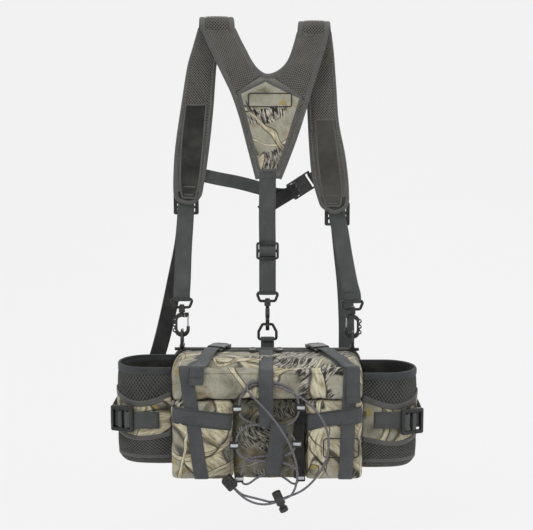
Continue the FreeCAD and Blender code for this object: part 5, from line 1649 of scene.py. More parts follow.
            foot = [Vector((bar.x, -3.1 * MM, 66.5 * MM)), Vector((bar.x, -3.0 * MM, 76 * MM)),
                    bar + Vector((0, 2.6 * MM, -1.0 * MM))]
            tab = ribbon(f"buckle_tab_foot_{side}", smooth(foot, 5), RIGHTWARD, 19 * MM)
            finish_piece(tab, GREY_WEB)

    def build(self) -> None:
        """Make every strap and tab of the bag."""
        self.lid_strap("left", (-76.0, -30.0, 85.7), -115.0, -94.0, -99.0, 58.0)
        self.lid_strap("right", (81.0, -30.0, 85.7), 120.0, 114.0, 123.0, 31.0)
        self.centre()
        self.across()
        self.tabs()
        for node in ("lid_buckle_females", "lid_buckle_male_left", "lid_buckle_male_right"):
            paint(node, BLACK_PLASTIC)
        for side in ("left", "right", "centre"):
            paint("d_ring_" + side, BLACK_PLASTIC)


# ------------------------------------------------------------------------------------------ bottle pockets
@dataclass
class BottlePocket:
    """Mesh bottle pocket on one side of the bag: open mesh, printed band and elastic collar."""
    side: str
    inner_x: float
    reach: float
    base: float
    mouth: float
    band: tuple[float, float]
    depth: tuple[float, float] = (-101.0, -16.3)
    cell: float = 5.0
    front_share: float = 0.46
    seam_level: float = 0.42

    @property
    def sign(self) -> int:
        """-1 on the left, 1 on the right."""
        return 1 if self.side == "right" else -1

    def place(self, u: float, v: float, lift: float = 0.0) -> Vector:
        """Point of the pocket's wall.

        Args:
            u: 0 at the front edge by the bag, 1 at the rear edge.
            v: 0 at the base, 1 at the mouth.
            lift: Distance out of the wall, millimetres.

        Returns:
            The point in metres.
        """
        z = lerp(self.base, self.mouth, v)
        puff = two_humps(v, self.seam_level, 2.6, 1.8)
        puff += 1.0 * math.sin(9 * u + 4 * v) * math.sin(math.pi * v) + 0.7 * math.sin(23 * u - 9 * v) * (1 - v)
        narrow = 9.0 * max(0.0, 1 - v / 0.10) ** 2 + 2.6 * math.exp(-((v - self.seam_level) / 0.035) ** 2)
        inset = narrow - puff - lift
        front, back = self.depth[0] + inset, self.depth[1] - inset * 0.5
        radius = (back - front) / 2
        turn = self.sign * (self.reach - inset) - self.sign * radius
        straight = abs(turn - self.inner_x)
        arc = math.pi * radius
        run = u * (2 * straight + arc)
        if run < straight:
            return vec((self.inner_x + self.sign * run, front, z))
        if run < straight + arc:
            angle = (run - straight) / radius
            return vec((turn + self.sign * radius * math.sin(angle),
                        (front + back) / 2 - radius * math.cos(angle), z))
        return vec((turn - self.sign * (run - straight - arc), back, z))

    def wall(self, name: str, lift: float, low: float, high: float, low_dip: float, high_dip: float,
             thick: float) -> bpy.types.Object:
        """Cloth layer of the wall between two levels that dip in the middle of the front."""
        def at(u: float, v: float) -> Vector:
            """Point of the layer."""
            dip = two_humps(u, self.front_share, 1.0, 0.35)
            return self.place(u, lerp(low - low_dip * dip, high - high_dip * dip, v), lift)
        return skin(name, at, 96, max(4, round(40 * (high - low))), thick)

    def net(self, name: str, low: float, high: float, low_dip: float, high_dip: float) -> bpy.types.Object:
        """Open mesh over the lining between two levels."""
        def at(u: float, v: float) -> Vector:
            """Point of the mesh."""
            dip = two_humps(u, self.front_share, 1.0, 0.35)
            return self.place(u, lerp(low - low_dip * dip, high - high_dip * dip, v), 0.9)
        height = (high - low) * (self.mouth - self.base)
        return lattice(name, at, (round(205 / self.cell), round(height / self.cell)), 0.5 * MM)

    def edge(self, name: str, level: float, dip: float, width: float, lift: float, finish: Finish) -> None:
        """Binding tape round the wall at a level."""
        path = []
        for step in range(61):
            u = step / 60
            low = two_humps(u, self.front_share, 1.0, 0.35)
            path.append(self.place(u, level - dip * low, lift))
        tape = ribbon(name, path, UPWARD, width, 1.2 * MM, 4)
        finish_piece(tape, finish)

    def build(self) -> None:
        """Make every piece of the pocket."""
        s = self.side
        low, high = self.band
        lining = self.wall(f"pocket_lining_{s}", 0.0, 0.02, 0.985, 0.0, 0.0, 1.4 * MM)
        finish_piece(lining, LINING, PACK, [f"bottle_pocket_{s}"])

        def floor(u: float, v: float) -> Vector:
            """Point of the pocket's floor, drawn in towards its middle."""
            rim = self.place(u, 0.02)
            middle = Vector((vec((self.inner_x + self.sign * 30, 0, 0)).x, vec((0, -58.6, 0)).y,
                             rim.z - 1.0 * MM))
            return rim.lerp(middle, v)

        finish_piece(skin(f"pocket_floor_{s}", floor, 72, 10, 1.2 * MM), LINING)
        finish_piece(self.net(f"pocket_net_upper_{s}", high, 0.955, 0.10, 0.0), MESH_YARN)
        finish_piece(self.net(f"pocket_net_lower_{s}", 0.02, low, 0.0, 0.05), MESH_YARN)
        camo = self.wall(f"pocket_band_{s}", 1.5, low, high, 0.05, 0.10, 1.2 * MM)
        wrinkle(camo, 1.0 * MM, 26, 2.0 + self.sign, (1.0, 1.0, 1.4))
        finish_piece(camo, CAMO_SIDES)
        self.edge(f"pocket_binding_upper_{s}", high, 0.10, 9 * MM, 2.3, BINDING)
        self.edge(f"pocket_binding_lower_{s}", low, 0.05, 7 * MM, 2.2, BINDING)
        self.edge(f"pocket_seam_{s}", 0.10, 0.0, 5 * MM, 1.0, BINDING)
        collar = [self.place(step / 60, 1.0 - 4.4 / (self.mouth - self.base), 1.2) for step in range(61)]
        elastic = ribbon(f"pocket_collar_{s}", collar, UPWARD, 10 * MM, 2.6 * MM, 6, 0.4 * MM)
        finish_piece(elastic, ELASTIC, PACK, ["pocket_collars"])
        rim = [self.place(step / 60, 1.0, 0.6) for step in range(61)]
        finish_piece(tube(f"pocket_rim_{s}", rim, 1.7 * MM, 8), ELASTIC)


@dataclass
class Belt:
    """Padded hip wings, belt webbing through its ladder-locks and the buckle behind the waist."""
    web: float = 25.0
    waist_z: float = -4.5

    def wing(self, side: str, sign: int, z_tip: float) -> None:
        """One padded wing with its bound edge."""
        outline = smooth_outline([(sign * 140.5, -60), (sign * 140.5, 56), (sign * 186, z_tip),
                                  (sign * 216, z_tip - 4), (sign * 216, -36), (sign * 186, -48)], 9)
        wing = slab(f"hip_wing_{side}", outline, -14.0, -4.6, 4)
        Stuffing(voxel=5 * MM, pressure=3.0, cap=1.6 * MM).swell(wing, lambda p: abs(p.x) < 146 * MM)
        finish_piece(wing, CAMO_SIDES, PACK, ["hip_wings"])
        rim = [vec((x * 0.995, -9.3, z * 0.985)) for x, z in outline]
        bound = tube(f"wing_binding_{side}", spaced(rim + [rim[0]], 4 * MM)[:-1], 3.9 * MM, 8, True, 0.9,
                     REARWARD)
        finish_piece(bound, BINDING)

    def side_web(self, side: str, lock: Point, end_x: float) -> None:
        """Belt webbing from the pocket, through its lock, round the waist to the buckle."""
        sign = 1 if side == "right" else -1
        slope = math.tan(math.radians(24.0))
        z = self.waist_z
        flat = [(sign * 156, -104.6), (sign * 170, -105.0), (sign * 186, -105.6),
                (lock[0] - sign * 17, lock[1] + 1.4 - 17 * slope), (lock[0], lock[1] + 1.8),
                (lock[0] + sign * 17, lock[1] + 1.4 + 17 * slope), (sign * 227.5, -80), (sign * 227, -40),
                (sign * 224, 0),
                (sign * 214, 34), (sign * 194, 62), (sign * 165, 85), (sign * 132, 101), (sign * 96, 112.5),
                (sign * 55, 117.6), (end_x + sign * 20, 118.0), (end_x, 118.0)]
        path = spaced(smooth([vec((x, y, z)) for x, y in flat], 6), 5 * MM)
        web = ribbon(f"belt_web_{side}", path, UPWARD, self.web * MM)
        finish_piece(web, GREY_WEB, PACK, ["belt_webbing"])
        centre = Vector(lock) * MM
        turn = Matrix.Rotation(math.radians(24.0 * sign), 4, "Z")
        for index, (a, b) in enumerate(((-16.5, -2.5), (-3.5, 8.5)), 1):
            weave = [(a, 2.0), (a + 2.5, 0.4), (a + 3.6, -5.0), ((a + b) / 2, -6.3), (b - 3.6, -5.0),
                     (b - 2.5, 0.4),
                     (b, 2.0)]
            line = [centre + turn @ vec((sign * x, y, 0)) for x, y in weave]
            loop = ribbon(f"lock_weave_{side}_{index}", smooth(line, 5), UPWARD,
                          (self.web - 1.4) * MM, 1.2 * MM)
            finish_piece(loop, GREY_WEB)
        box = [vec((sign * 158.5, -105.9, z + dz)) for dz in (-11, 11)]
        finish_piece(stitches(f"belt_anchor_thread_{side}", box, 2.4 * MM),
                     THREAD)

    def build(self) -> None:
        """Make the wings and the belt, and finish its locks and buckle."""
        self.wing("left", -1, 46)
        self.wing("right", 1, 50)
        self.side_web("left", (-209.0, -101.0, self.waist_z + 2), -6.5)
        self.side_web("right", (211.0, -101.0, self.waist_z - 2), 28.0)
        turn_path = [vec((-13.5, 118.3, self.waist_z)), vec((-6.0, 118.3, self.waist_z)),
                     vec((-4.6, 116.6, self.waist_z)), vec((-6.0, 114.9, self.waist_z)),
                     vec((-40.0, 114.6, self.waist_z)), vec((-56.0, 115.2, self.waist_z))]
        turn = ribbon("waist_buckle_turn", smooth(turn_path, 5), UPWARD, self.web * MM, 1.1 * MM)
        finish_piece(turn, GREY_WEB, "waist_buckle_male")
        bar = round_bar(vec((26, 115.95, self.waist_z)), RIGHTWARD, REARWARD, 2.9 * MM,
                        range(60, -211, -30))
        loop = ribbon("waist_bar_loop", bar, UPWARD, self.web * MM, 1.1 * MM)
        finish_piece(loop, GREY_WEB)
        for node in ("belt_ladder_locks", "waist_buckle_female", "waist_buckle_male"):
            paint(node, BLACK_PLASTIC)


# ------------------------------------------------------------------------------------------ harness
Edge = Sequence[tuple[float, float]]


def edge_curve(points: Edge) -> Callable[[float], tuple[float, float]]:
    """Function from 0..1 to a point of a smooth edge given in X and Z, millimetres."""
    line = smooth([Vector((x, 0, z)) for x, z in points], 8)
    lengths = [0.0]
    for a, b in zip(line, line[1:]):
        lengths.append(lengths[-1] + (b - a).length)

    def at(t: float) -> tuple[float, float]:
        """Point a fraction t along the edge."""
        target = min(max(t, 0.0), 1.0) * lengths[-1]
        index = max(i for i, passed in enumerate(lengths) if passed <= target + 1e-9)
        if index >= len(line) - 1:
            return line[-1].x, line[-1].z
        rest = (target - lengths[index]) / (lengths[index + 1] - lengths[index])
        point = line[index].lerp(line[index + 1], rest)
        return point.x, point.z
    return at


def between(left: Edge, right: Edge) -> Callable[[float, float], tuple[float, float]]:
    """Function from two parameters to X and Z, across and along the strip between two edges."""
    a, b = edge_curve(left), edge_curve(right)

    def at(u: float, v: float) -> tuple[float, float]:
        """Point of the strip."""
        (ax, az), (bx, bz) = a(v), b(v)
        return lerp(ax, bx, u), lerp(az, bz, u)
    return at


@dataclass
class Yoke:
    """Y-shaped back yoke: padded mesh arms, bound edges, printed centre panel and a blank name patch."""
    front: float = -3.0
    back: float = 3.0
    binding: float = 9.5
    neck: Edge = ((-46, 558), (-38, 541), (-30, 526), (-23, 512.5), (-14.5, 500.5), (-4, 492.5), (5, 491.5),
                  (15, 495), (25, 502.5), (33, 514), (39.5, 532), (45, 552))
    left_outer: Edge = ((-97, 558), (-88.6, 542), (-74, 510), (-61, 483), (-50.8, 461), (-39.1, 426),
                        (-28.9, 387),
                        (-20, 353), (-15.6, 336))
    right_outer: Edge = ((91, 552), (85.5, 529), (75, 495), (68, 472), (61.8, 450.6), (46.6, 402),
                         (33.4, 366),
                         (26, 347), (21.6, 336))
    panel: Edge = ((-1.3, 481), (-39.6, 464), (-10.4, 350), (17.1, 350), (50.5, 457))

    def body(self) -> bpy.types.Object:
        """Foam body of the yoke under its mesh facing."""
        kept = flat_outline(self.left_outer, self.right_outer[::-1], self.neck[::-1])
        foam = slab("yoke_foam", kept, self.front + 0.5, self.back - 0.5, 2.4)
        Stuffing(voxel=3.6 * MM, pressure=3.0, cap=1.3 * MM).swell(foam, lambda p: False, 0)
        finish_piece(foam, SPACER, PACK, ["yoke_arm_left", "yoke_arm_right", "yoke_centre"])
        return foam

    def nets(self, skin_of_foam: Skin) -> None:
        """Open mesh facing over the arms and the centre, front and rear."""
        regions = {
            "left_arm": (self.left_outer[:5], self.neck[:6], (12, 24)),
            "right_arm": (tuple(reversed(self.neck[6:])), self.right_outer[:5], (12, 24)),
            "centre": (((-4, 491), (-50.8, 461), (-39.1, 426), (-28.9, 387), (-15.6, 336)),
                       ((5, 490.5), (61.8, 450.6), (46.6, 402), (33.4, 366), (21.6, 336)), (22, 38))}
        for name, (left, right, cells) in regions.items():
            strip = between(left, right)
            for face, y, lift in (("front", -40, -0.35), ("rear", 40, 0.35)):
                def at(u: float, v: float, y: float = y, lift: float = lift) -> Vector:
                    """Point of the facing, laid on the foam."""
                    x, z = strip(lerp(0.05, 0.95, u), lerp(0.01, 0.99, v))
                    level = self.front if y < 0 else self.back
                    found = skin_of_foam.hit(vec((x, y, z)), Vector((0, -math.copysign(1, y), 0)),
                                             vec((x, level, z)))
                    return found + Vector((0, lift * MM, 0))
                net = lattice(f"yoke_net_{name}_{face}", at, cells, 0.5 * MM)
                finish_piece(net, HARNESS_YARN)

    def edges(self) -> None:
        """Grosgrain binding folded over every free edge."""
        for name, edge in (("neck", self.neck), ("left", self.left_outer), ("right", self.right_outer)):
            turn = 1 if name == "left" else -1
            line = smooth([vec((x, 0, z)) for x, z in edge], 5)
            shifted = []
            for index, point in enumerate(line):
                shifted.append(point + inward_of(line, index) * (turn * self.binding * 0.42 * MM))
            tape = tube(f"yoke_binding_{name}", spaced(shifted, 3.5 * MM), self.binding / 2 * MM, 12,
                        False, 0.80,
                        REARWARD)
            finish_piece(tape, BINDING)

    def printed(self) -> None:
        """Printed panel stitched on the centre, bound along its sides, with the blank patch."""
        corners = [vec((x, self.front - 1.4, z)) for x, z in self.panel]
        left = [self.panel[0], self.panel[1], (-25.0, 407.0), self.panel[2]]
        right = [self.panel[0], self.panel[4], (33.8, 403.0), self.panel[3]]

        def at(u: float, v: float) -> Vector:
            """Point of the panel, slightly crowned."""
            a, b = self.along(left, v), self.along(right, v)
            x, z = lerp(a[0], b[0], u), lerp(a[1], b[1], u)
            return vec((x,
                        self.front - 1.5 - 0.9 * math.sin(math.pi * u) * math.sin(math.pi * min(1,
                                                                                                v + 0.1)),
                                                                                                z))

        panel = skin("yoke_print", at, 36, 60, 1.0 * MM)
        wrinkle(panel, 0.25 * MM, 40, 4.4)
        finish_piece(panel, CAMO_YOKE, PACK, ["yoke_camo_panel"])
        rim = rounded([corners[0], corners[1], corners[2], corners[3], corners[4], corners[0]], 1.5 * MM, 2)
        tape = tube("yoke_print_binding", spaced(rim, 3 * MM), 2.6 * MM, 8, False, 0.45, REARWARD)
        finish_piece(tape, BINDING)
        edge = [vec((x, self.front - 3.2, z)) for x,
                z in rounded_box((-26.5, 37.0), (444.0, 463.5), 2.5, 3)]
        frame_line = tube("yoke_patch_rim", spaced(edge + [edge[0]], 2 * MM), 0.8 * MM, 6, False, 0.7,
                          REARWARD)
        finish_piece(frame_line, DARK_WEB_AND_PAINTED_SHADE)

    @staticmethod
    def along(chain: Edge, t: float) -> tuple[float, float]:
        """Point a fraction t along a chain of straight runs."""
        lengths = [math.dist(a, b) for a, b in zip(chain, chain[1:])]
        target = t * sum(lengths)
        for (a, b), length in zip(zip(chain, chain[1:]), lengths):
            if target <= length:
                return lerp(a[0], b[0], target / length), lerp(a[1], b[1], target / length)
            target -= length
        return tuple(chain[-1])

    def build(self) -> None:
        """Make every piece of the yoke."""
        foam = self.body()
        self.nets(Skin(foam))
        self.edges()
        self.printed()


@dataclass
class ShoulderPad:
    """Crowned shoulder pad behind the yoke: mesh above, smooth grip panel below, bound round its edge."""
    side: str
    fold_z: float
    fold_x: tuple[float, float]
    arm_x: tuple[float, float]
    left_edge: Edge
    right_edge: Edge
    foot: Edge
    grip: tuple[float, float]
    grip_left: Edge
    grip_right: Edge
    front: float = 20.5
    back: float = 29.3
    centre_y: float = 13.0

    def body(self) -> bpy.types.Object:
        """Foam body of the hanging part."""
        kept = flat_outline(self.left_edge, self.foot, self.right_edge)
        pad = slab(f"shoulder_foam_{self.side}", kept, self.front + 1.2, self.back - 0.8, 3.4)
        Stuffing(voxel=4 * MM, pressure=3.5, cap=2.0 * MM).swell(pad,
                                                                 lambda p: p.z > (self.fold_z - 6) * MM)
        for vertex in pad.data.vertices:
            vertex.co.y = min(max(vertex.co.y, (self.front - 1.0) * MM), (self.back + 0.9) * MM)
        wrinkle(pad, 0.5 * MM, 18, 6.1, (0.6, 1.0, 1.6))
        finish_piece(pad, SPACER, PACK, [f"shoulder_pad_{self.side}"])
        return pad

    def fold(self) -> None:
        """Half-round turn of the padding over the shoulder, with its mesh and bound edges."""
        inner, outer = 8.0, 16.0

        def turn(u: float, v: float, radius: float) -> Vector:
            """Point on the turn at a radius."""
            turned = min(max(v * 1.16 - 0.08, 0.0), 1.0)
            below = 60 * abs(v * 1.16 - 0.08 - turned)
            angle = math.pi * (1 - turned)
            crown = 1.2 * math.sin(math.pi * u) * (1 if radius > 12 else 0)
            r = radius - 1.4 + crown
            low, high = (lerp(arm, pad, turned) for arm, pad in zip(self.arm_x, self.fold_x))
            return vec((lerp(low, high, u), self.centre_y + r * math.cos(angle),
                        self.fold_z + r * math.sin(angle) - below))

        middle = (inner + outer) / 2
        cover = skin(f"shoulder_turn_{self.side}", lambda u, v: turn(u, v, middle + 0.4), 20, 26,
                     (outer - inner - 1.5) * MM)
        finish_piece(cover, SPACER)
        net = lattice(f"turn_net_{self.side}", lambda u, v: turn(lerp(0.18, 0.82, u), v, outer + 1.2),
                      (7, 12), 0.5 * MM)
        finish_piece(net, HARNESS_YARN)
        for name, u in (("inner", 0.09), ("outer", 0.91)):
            path = [turn(u, step / 16, middle + 1.0) for step in range(17)]
            rim = ribbon(f"turn_binding_{self.side}_{name}", path, RIGHTWARD, 9.2 * MM,
                         (outer - inner + 0.6) * MM)
            finish_piece(rim, BINDING)

    def net(self, foam: Skin) -> None:
        """Open mesh on both faces above the grip panel."""
        strip = between(self.left_edge, tuple(reversed(self.right_edge)))
        for face, y, lift in (("inside", -40, -0.35), ("outside", 80, 0.35)):
            def at(u: float, v: float, y: float = y, lift: float = lift) -> Vector:
                """Point of the facing, laid on the foam."""
                x, z = strip(lerp(0.06, 0.94, u), lerp(0.01, 0.985, v))
                level = self.front if y < 0 else self.back
                found = foam.hit(vec((x, y, z)), Vector((0, 1 if y < 0 else -1, 0)), vec((x, level, z)))
                return found + Vector((0, lift * MM, 0))
            net = lattice(f"shoulder_net_{self.side}_{face}", at, (10, 56), 0.5 * MM)
            finish_piece(net, HARNESS_YARN)

    def grip_panel(self, foam: Skin) -> None:
        """Smooth panel on the lower half with its two short rows of stitching and thin piping."""
        strip = between(self.grip_left, self.grip_right)

        def at(u: float, v: float) -> Vector:
            """Point of the panel, lying on the foam."""
            x, z = strip(u, v)
            found = foam.hit(vec((x, -40, z)), REARWARD, vec((x, self.front, z)))
            return found + vec((0, -1.0 - 0.6 * math.sin(math.pi * u) * math.sin(math.pi * v), 0))

        panel = skin(f"grip_panel_{self.side}", at, 18, 56, 1.0 * MM)
        finish_piece(panel, (GRIP_LEFT if self.side == "left" else GRIP_RIGHT), PACK,
                     ["grip_panels"])
        rim = [at(0.0, t / 24) for t in range(25)] + [at(t / 8, 1.0) for t in range(1, 9)]
        rim += [at(1.0, 1 - t / 24) for t in range(1, 25)] + [at(1 - t / 8, 0.0) for t in range(1, 9)]
        edge = tube(f"grip_piping_{self.side}", spaced(smooth(rim[::2] + [rim[0]], 3), 3 * MM), 1.5 * MM,
                    8, False,
                    0.7, REARWARD)
        finish_piece(edge, BINDING)
        for index, level in enumerate(self.grip, 1):
            seam = [at(lerp(0.16, 0.84, t / 6), level) + Vector((0, -0.3 * MM, 0)) for t in range(7)]
            groove = tube(f"grip_bar_{self.side}_{index}", seam, 1.1 * MM, 6, False, 0.6, REARWARD)
            finish_piece(groove, BINDING)

    def rim(self) -> None:
        """Grosgrain binding folded over the edge of the hanging part."""
        line = smooth([vec((x, 0, z)) for x, z in self.left_edge], 4)
        line += smooth([vec((x, 0, z)) for x, z in self.foot], 4)[1:]
        line += smooth([vec((x, 0, z)) for x, z in self.right_edge], 4)[1:]
        line = spaced(line, 4 * MM)
        path = []
        for index, point in enumerate(line):
            path.append(point + inward_of(line, index) * 3.4 * MM + REARWARD * 25.2 * MM)
        tape = tube(f"shoulder_binding_{self.side}", path, 4.6 * MM, 12, False, 0.92, REARWARD)
        finish_piece(tape, BINDING)

    def build(self) -> None:
        """Make every piece of the pad."""
        foam = Skin(self.body())
        self.fold()
        self.net(foam)
        self.grip_panel(foam)
        self.rim()


@dataclass
class HarnessWebbing:
    """Webbing between the yoke, the pads, the swivel rings and the chest buckle."""
    wide: float = 25.0
    slim: float = 20.0

    @staticmethod
    def bar_of(name: str) -> Vector:
        """Middle of a swivel ring's top bar."""
        low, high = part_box("swivel_ring_" + name)
        return Vector(((low.x + high.x) / 2, (low.y + high.y) / 2, high.z - 2.1 * MM))

    @staticmethod
    def flat(i: int, along: Vector) -> Vector:
        """Side direction of webbing that hangs facing the viewer."""
        side = Vector((along.z, 0, -along.x))
        return side.normalized() if side.length > 0.2 else RIGHTWARD

    def ring_turn(self, name: str, bar: Vector, start: float, end: float, lean: float = 0.0) -> None:
        """Webbing turned round a ring's bar between two angles in degrees, from the front."""
        loop = round_bar(bar, FORWARD, UPWARD, 3.3 * MM,
                         [lerp(start, end, step / 12) for step in range(13)])
        across = Vector((math.cos(lean), 0, math.sin(lean)))
        web = ribbon(name, loop, across, self.wide * MM, 1.2 * MM)
        finish_piece(web, GREY_WEB)

    def centre(self) -> None:
        """Doubled webbing from the yoke's foot to the centre ring, with its slider."""
        bar = self.bar_of("centre")
        x = bar.x / MM
        rear = [vec((x, -3.9, 347)), vec((x, -4.3, 320)), vec((x - 0.5, -4.6, 280)), vec((x, -4.3, 230)),
                vec((x, -3.4, 195)), vec((x, -1.8, bar.z / MM + 4)), vec((x, -1.7, bar.z / MM))]
        web = ribbon("centre_web_rear", spaced(smooth(rear, 6), 5 * MM), self.flat, self.wide * MM)
        finish_piece(web, GREY_WEB, PACK, ["centre_web"])
        front = [vec((x, -6.0, 239)), vec((x, -6.0, 220)), vec((x, -6.1, 200)),
                 vec((x, -8.3, bar.z / MM + 8)),
                 vec((x, -8.3, bar.z / MM))]
        strand = ribbon("centre_web_front", spaced(smooth(front, 6), 5 * MM), self.flat, self.wide * MM)
        finish_piece(strand, GREY_WEB)
        self.ring_turn("centre_web_turn", bar, 0, -180)
        for level in (337.5, 349.0):
            seam = [vec((x + dx, -4.9, level)) for dx in (-11.5, 11.5)]
            finish_piece(stitches(f"centre_web_thread_{int(level)}", seam, 2.2 * MM),
                         DARK_THREAD)
        slider_low, slider_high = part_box("centre_slider")
        z = (slider_low.z + slider_high.z) / 2 / MM
        over = [vec((x, -7.0, z + 8.8)), vec((x, -8.6, z + 6.4)), vec((x, -12.4, z + 2.6)),
                vec((x, -12.6, z)),
                vec((x, -12.4, z - 2.6)), vec((x, -8.6, z - 6.4)), vec((x, -7.0, z - 8.8))]
        loop = ribbon("slider_web", smooth(over, 6), self.flat, self.wide * MM, 1.3 * MM)
        finish_piece(loop, GREY_WEB, "centre_slider")
        paint("centre_slider", BLACK_PLASTIC)

    def drop(self, side: str, lock: tuple[float, float], tail: Sequence[Point],
             tail_finish: Finish) -> None:
        """Side webbing from the pad's lock down to the ring, and the loose end behind it.

        Args:
            side: Left or right.
            lock: X and Z of the ladder-lock.
            tail: Middle line of the loose end, millimetres.
            tail_finish: Finish of the loose end; the dark webbing on the left one is painted shade.
        """
        bar = self.bar_of(side)
        x, z = bar.x / MM, bar.z / MM
        path = [vec((lock[0], 31.0, lock[1] + 10)), vec((lock[0], 31.0, lock[1] - 6)),
                vec((lerp(lock[0], x, 0.2), 26.5, lerp(lock[1], z, 0.2))),
                vec((lerp(lock[0], x, 0.5) - 0.6, 11.5, lerp(lock[1], z, 0.5))),
                vec((lerp(lock[0], x, 0.8), -4.0, lerp(lock[1], z, 0.8))),
                vec((x, -10.2, z + 9)), vec((x, -11.3, z))]
        web = ribbon(f"drop_web_{side}", spaced(smooth(path, 6), 5 * MM), self.flat, self.wide * MM)
        finish_piece(web, GREY_WEB, PACK, ["drop_webbing"])
        self.ring_turn(f"drop_web_turn_{side}", bar, 0, -200)
        seam = [vec((lerp(x, lock[0], 0.10) + dx, -9.4, z + 13)) for dx in (-11, 11)]
        finish_piece(stitches(f"drop_thread_{side}", seam, 2.2 * MM),
                     DARK_THREAD)
        loose = ribbon(f"drop_tail_{side}", spaced(smooth([vec(p) for p in tail], 6), 5 * MM), self.flat,
                       (self.wide - 1) * MM, 1.3 * MM)
        finish_piece(loose, tail_finish, PACK, ["drop_webbing"])
        over = [vec((lock[0], 37.6, lock[1] + 9.5)), vec((lock[0], 36.2, lock[1] + 12.6)),
                vec((lock[0], 33.8, lock[1] + 13.2)), vec((lock[0], 31.4, lock[1] + 10.2))]
        bend = ribbon(f"lock_bend_{side}", smooth(over, 5), RIGHTWARD, (self.wide - 1.5) * MM)
        finish_piece(bend, GREY_WEB)

    def chest(self) -> None:
        """Chest strap: sewn left part to the male half, its loose end, and the short right part."""
        slant = math.radians(33.0)
        mouth = Vector((47.0, 35.0, 319.0))
        down = Vector((math.cos(slant), 0, math.sin(slant)))
        male = mouth - down * 7.5
        left = [Vector((-113, 30.3, 342.2)), Vector((-92, 30.6, 338.0)), Vector((-74, 34.4, 333.6)),
                Vector((-40, 37.0, 326.6)), Vector((-8, 37.3, 318.0)), Vector((14, 37.2, 309.6)),
                male - down * 9 + Vector((0, 1.9, -0.6)), male + Vector((0, 1.9, 0))]
        first = ribbon("chest_web_sewn", spaced(smooth([vec(p) for p in left[:5]], 6), 5 * MM), self.flat,
                       self.slim * MM)
        finish_piece(first, GREY_WEB, PACK, ["chest_web_left"])
        # The run up to the male half is dark webbing as painted shade: there the grey webbing hangs in shade.
        second = ribbon("chest_web_run",
                        spaced(smooth([vec(p + Vector((0, 0.4, 0))) for p in left[3:]], 6), 5 * MM),
                        self.flat, (self.slim - 0.6) * MM)
        finish_piece(second, DARK_WEB_AND_PAINTED_SHADE, PACK, ["chest_web_left"])
        # The loose end beside the male half is dark webbing as painted shade as well.
        tail_end = male - down * 58 + Vector((0, -3.4, 0))
        tail = [male + Vector((0, -1.9, 0)), male - down * 18 + Vector((0, -2.6, 0.6)),
                male - down * 40 + Vector((0, -3.0, 1.2)), tail_end]
        loose = ribbon("chest_web_tail", spaced(smooth([vec(p) for p in tail], 6), 4 * MM), self.flat,
                       self.slim * MM)
        finish_piece(loose, DARK_WEB_AND_PAINTED_SHADE, PACK, ["chest_web_left"])
        turn = [male + Vector((0, 1.9, 0)), male + down * 2.4 + Vector((0, 1.6, 0)), male + down * 4.0,
                male + down * 2.4 + Vector((0, -1.6, 0)), male + Vector((0, -1.9, 0))]
        bend = ribbon("chest_buckle_turn", smooth([vec(p) for p in turn], 5), self.flat_side(slant),
                      self.slim * MM, 1.1 * MM)
        finish_piece(bend, DARK_WEB_AND_PAINTED_SHADE, "chest_buckle_male")
        bar = mouth + down * 26
        loop = round_bar(vec(bar), down, REARWARD, 2.8 * MM, range(100, 309, 26))
        bar_loop = ribbon("chest_bar_loop", loop, self.flat_side(slant), self.slim * MM, 1.1 * MM)
        finish_piece(bar_loop, DARK_WEB_AND_PAINTED_SHADE)
        right = [bar + Vector((0.5, -2.8, 0)), bar + down * 8 + Vector((0, -4.4, 0)),
                 bar + down * 20 + Vector((0, -4.9, 0)), bar + down * 34 + Vector((0, -4.9, 0))]
        short = ribbon("chest_web_short", smooth([vec(p) for p in right], 6), self.flat_side(slant),
                       self.slim * MM)
        finish_piece(short, DARK_WEB_AND_PAINTED_SHADE, PACK, ["chest_web_right"])
        for node in ("chest_buckle_female", "chest_buckle_male"):
            paint(node, BLACK_PLASTIC)

    @staticmethod
    def flat_side(slant: float) -> Vector:
        """Side direction of webbing that lies in the plane facing the viewer at a slant."""
        return Vector((-math.sin(slant), 0, math.cos(slant)))

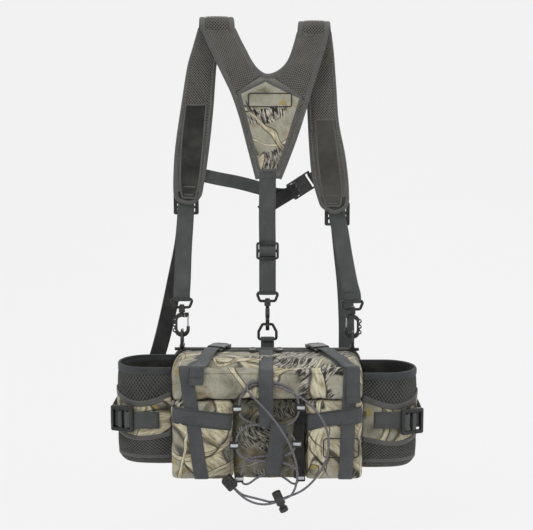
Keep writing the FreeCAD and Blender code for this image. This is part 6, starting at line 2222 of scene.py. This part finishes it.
    def build(self) -> None:
        """Make every web of the harness and finish its hardware."""
        self.centre()
        # The left loose end is given the dark webbing as painted shade: it is grey webbing hanging in shade
        # behind the bottle pocket.
        self.drop("left", (-121.5, 297.0), [(-121.5, 38.0, 304), (-127, 38.4, 240), (-139, 39.0, 180),
                                            (-152, 38.6, 120), (-162, 38.0, 80), (-170, 37.8, 53)],
                                            DARK_WEB_AND_PAINTED_SHADE)
        self.drop("right", (107.0, 280.0), [(107, 38.0, 287), (113, 38.6, 230), (119.5, 38.8, 170),
                                            (122.5, 38.2, 115), (123, 37.8, 67)], GREY_WEB)
        self.chest()
        for name in ("left", "right", "centre"):
            paint("swivel_ring_" + name, BLACK_PLASTIC)
            paint("snap_hook_" + name, BLACK_PLASTIC)
            paint("hook_gate_" + name, BRIGHT_WIRE)
        paint("pad_ladder_locks", BLACK_PLASTIC)


# ------------------------------------------------------------------------------------------ assembly
def main() -> None:
    """Build the sub-assemblies in order."""
    logging.basicConfig(level=logging.INFO, format="%(name)s: %(message)s")
    for build in GROUP_BUILDERS:
        build()
    studio = Studio()
    studio.camera()
    bungee = Bungee()
    bungee.cords()
    bungee.guides()
    bungee.dress()
    bag = LumbarBag()
    bag.build()
    BagStraps(bag).build()
    BottlePocket("left", -138.3, 216.5, -74.0, 72.0, (0.34, 0.74)).build()
    BottlePocket("right", 139.3, 218.5, -80.0, 64.0, (0.33, 0.76)).build()
    Belt().build()
    Yoke().build()
    ShoulderPad("left", 558.0, (-100.0, -50.0), (-97.0, -46.5),
                ((-100, 558), (-108.5, 529), (-116.6, 501), (-124.4, 455), (-135.6, 382), (-139, 334),
                 (-139, 312)),
                ((-50, 558), (-66, 528), (-74, 510), (-77.5, 476), (-80, 442), (-85, 395), (-91, 350),
                 (-98, 310))[::-1],
                ((-139, 312), (-136.6, 304), (-131, 299.5), (-118, 296), (-106, 299.5), (-98, 310)),
                (0.88, 0.97),
                ((-119.5, 445), (-127, 385), (-129, 330), (-126, 307)),
                ((-90, 445), (-95, 385), (-101.5, 330), (-107, 306))).build()
    ShoulderPad("right", 552.0, (49.0, 95.0), (45.5, 91.0),
                ((49, 552), (55, 518), (59, 490), (61.5, 442), (65.5, 373), (70, 334), (78, 304)),
                ((95, 552), (99, 520), (103, 470), (107, 419), (116.4, 373), (121.8, 334),
                 (123.6, 303))[::-1],
                ((78, 304), (82, 293.5), (88, 288), (102, 281.5), (117, 288), (121.5, 293.5), (123.6, 303)),
                (0.88, 0.97),
                ((72.5, 423), (77, 365), (82.5, 320), (90, 294)),
                ((99, 423), (106, 372), (113, 318), (110, 294))).build()
    HarnessWebbing().build()
    studio.set()


if __name__ == "__main__":
    main()
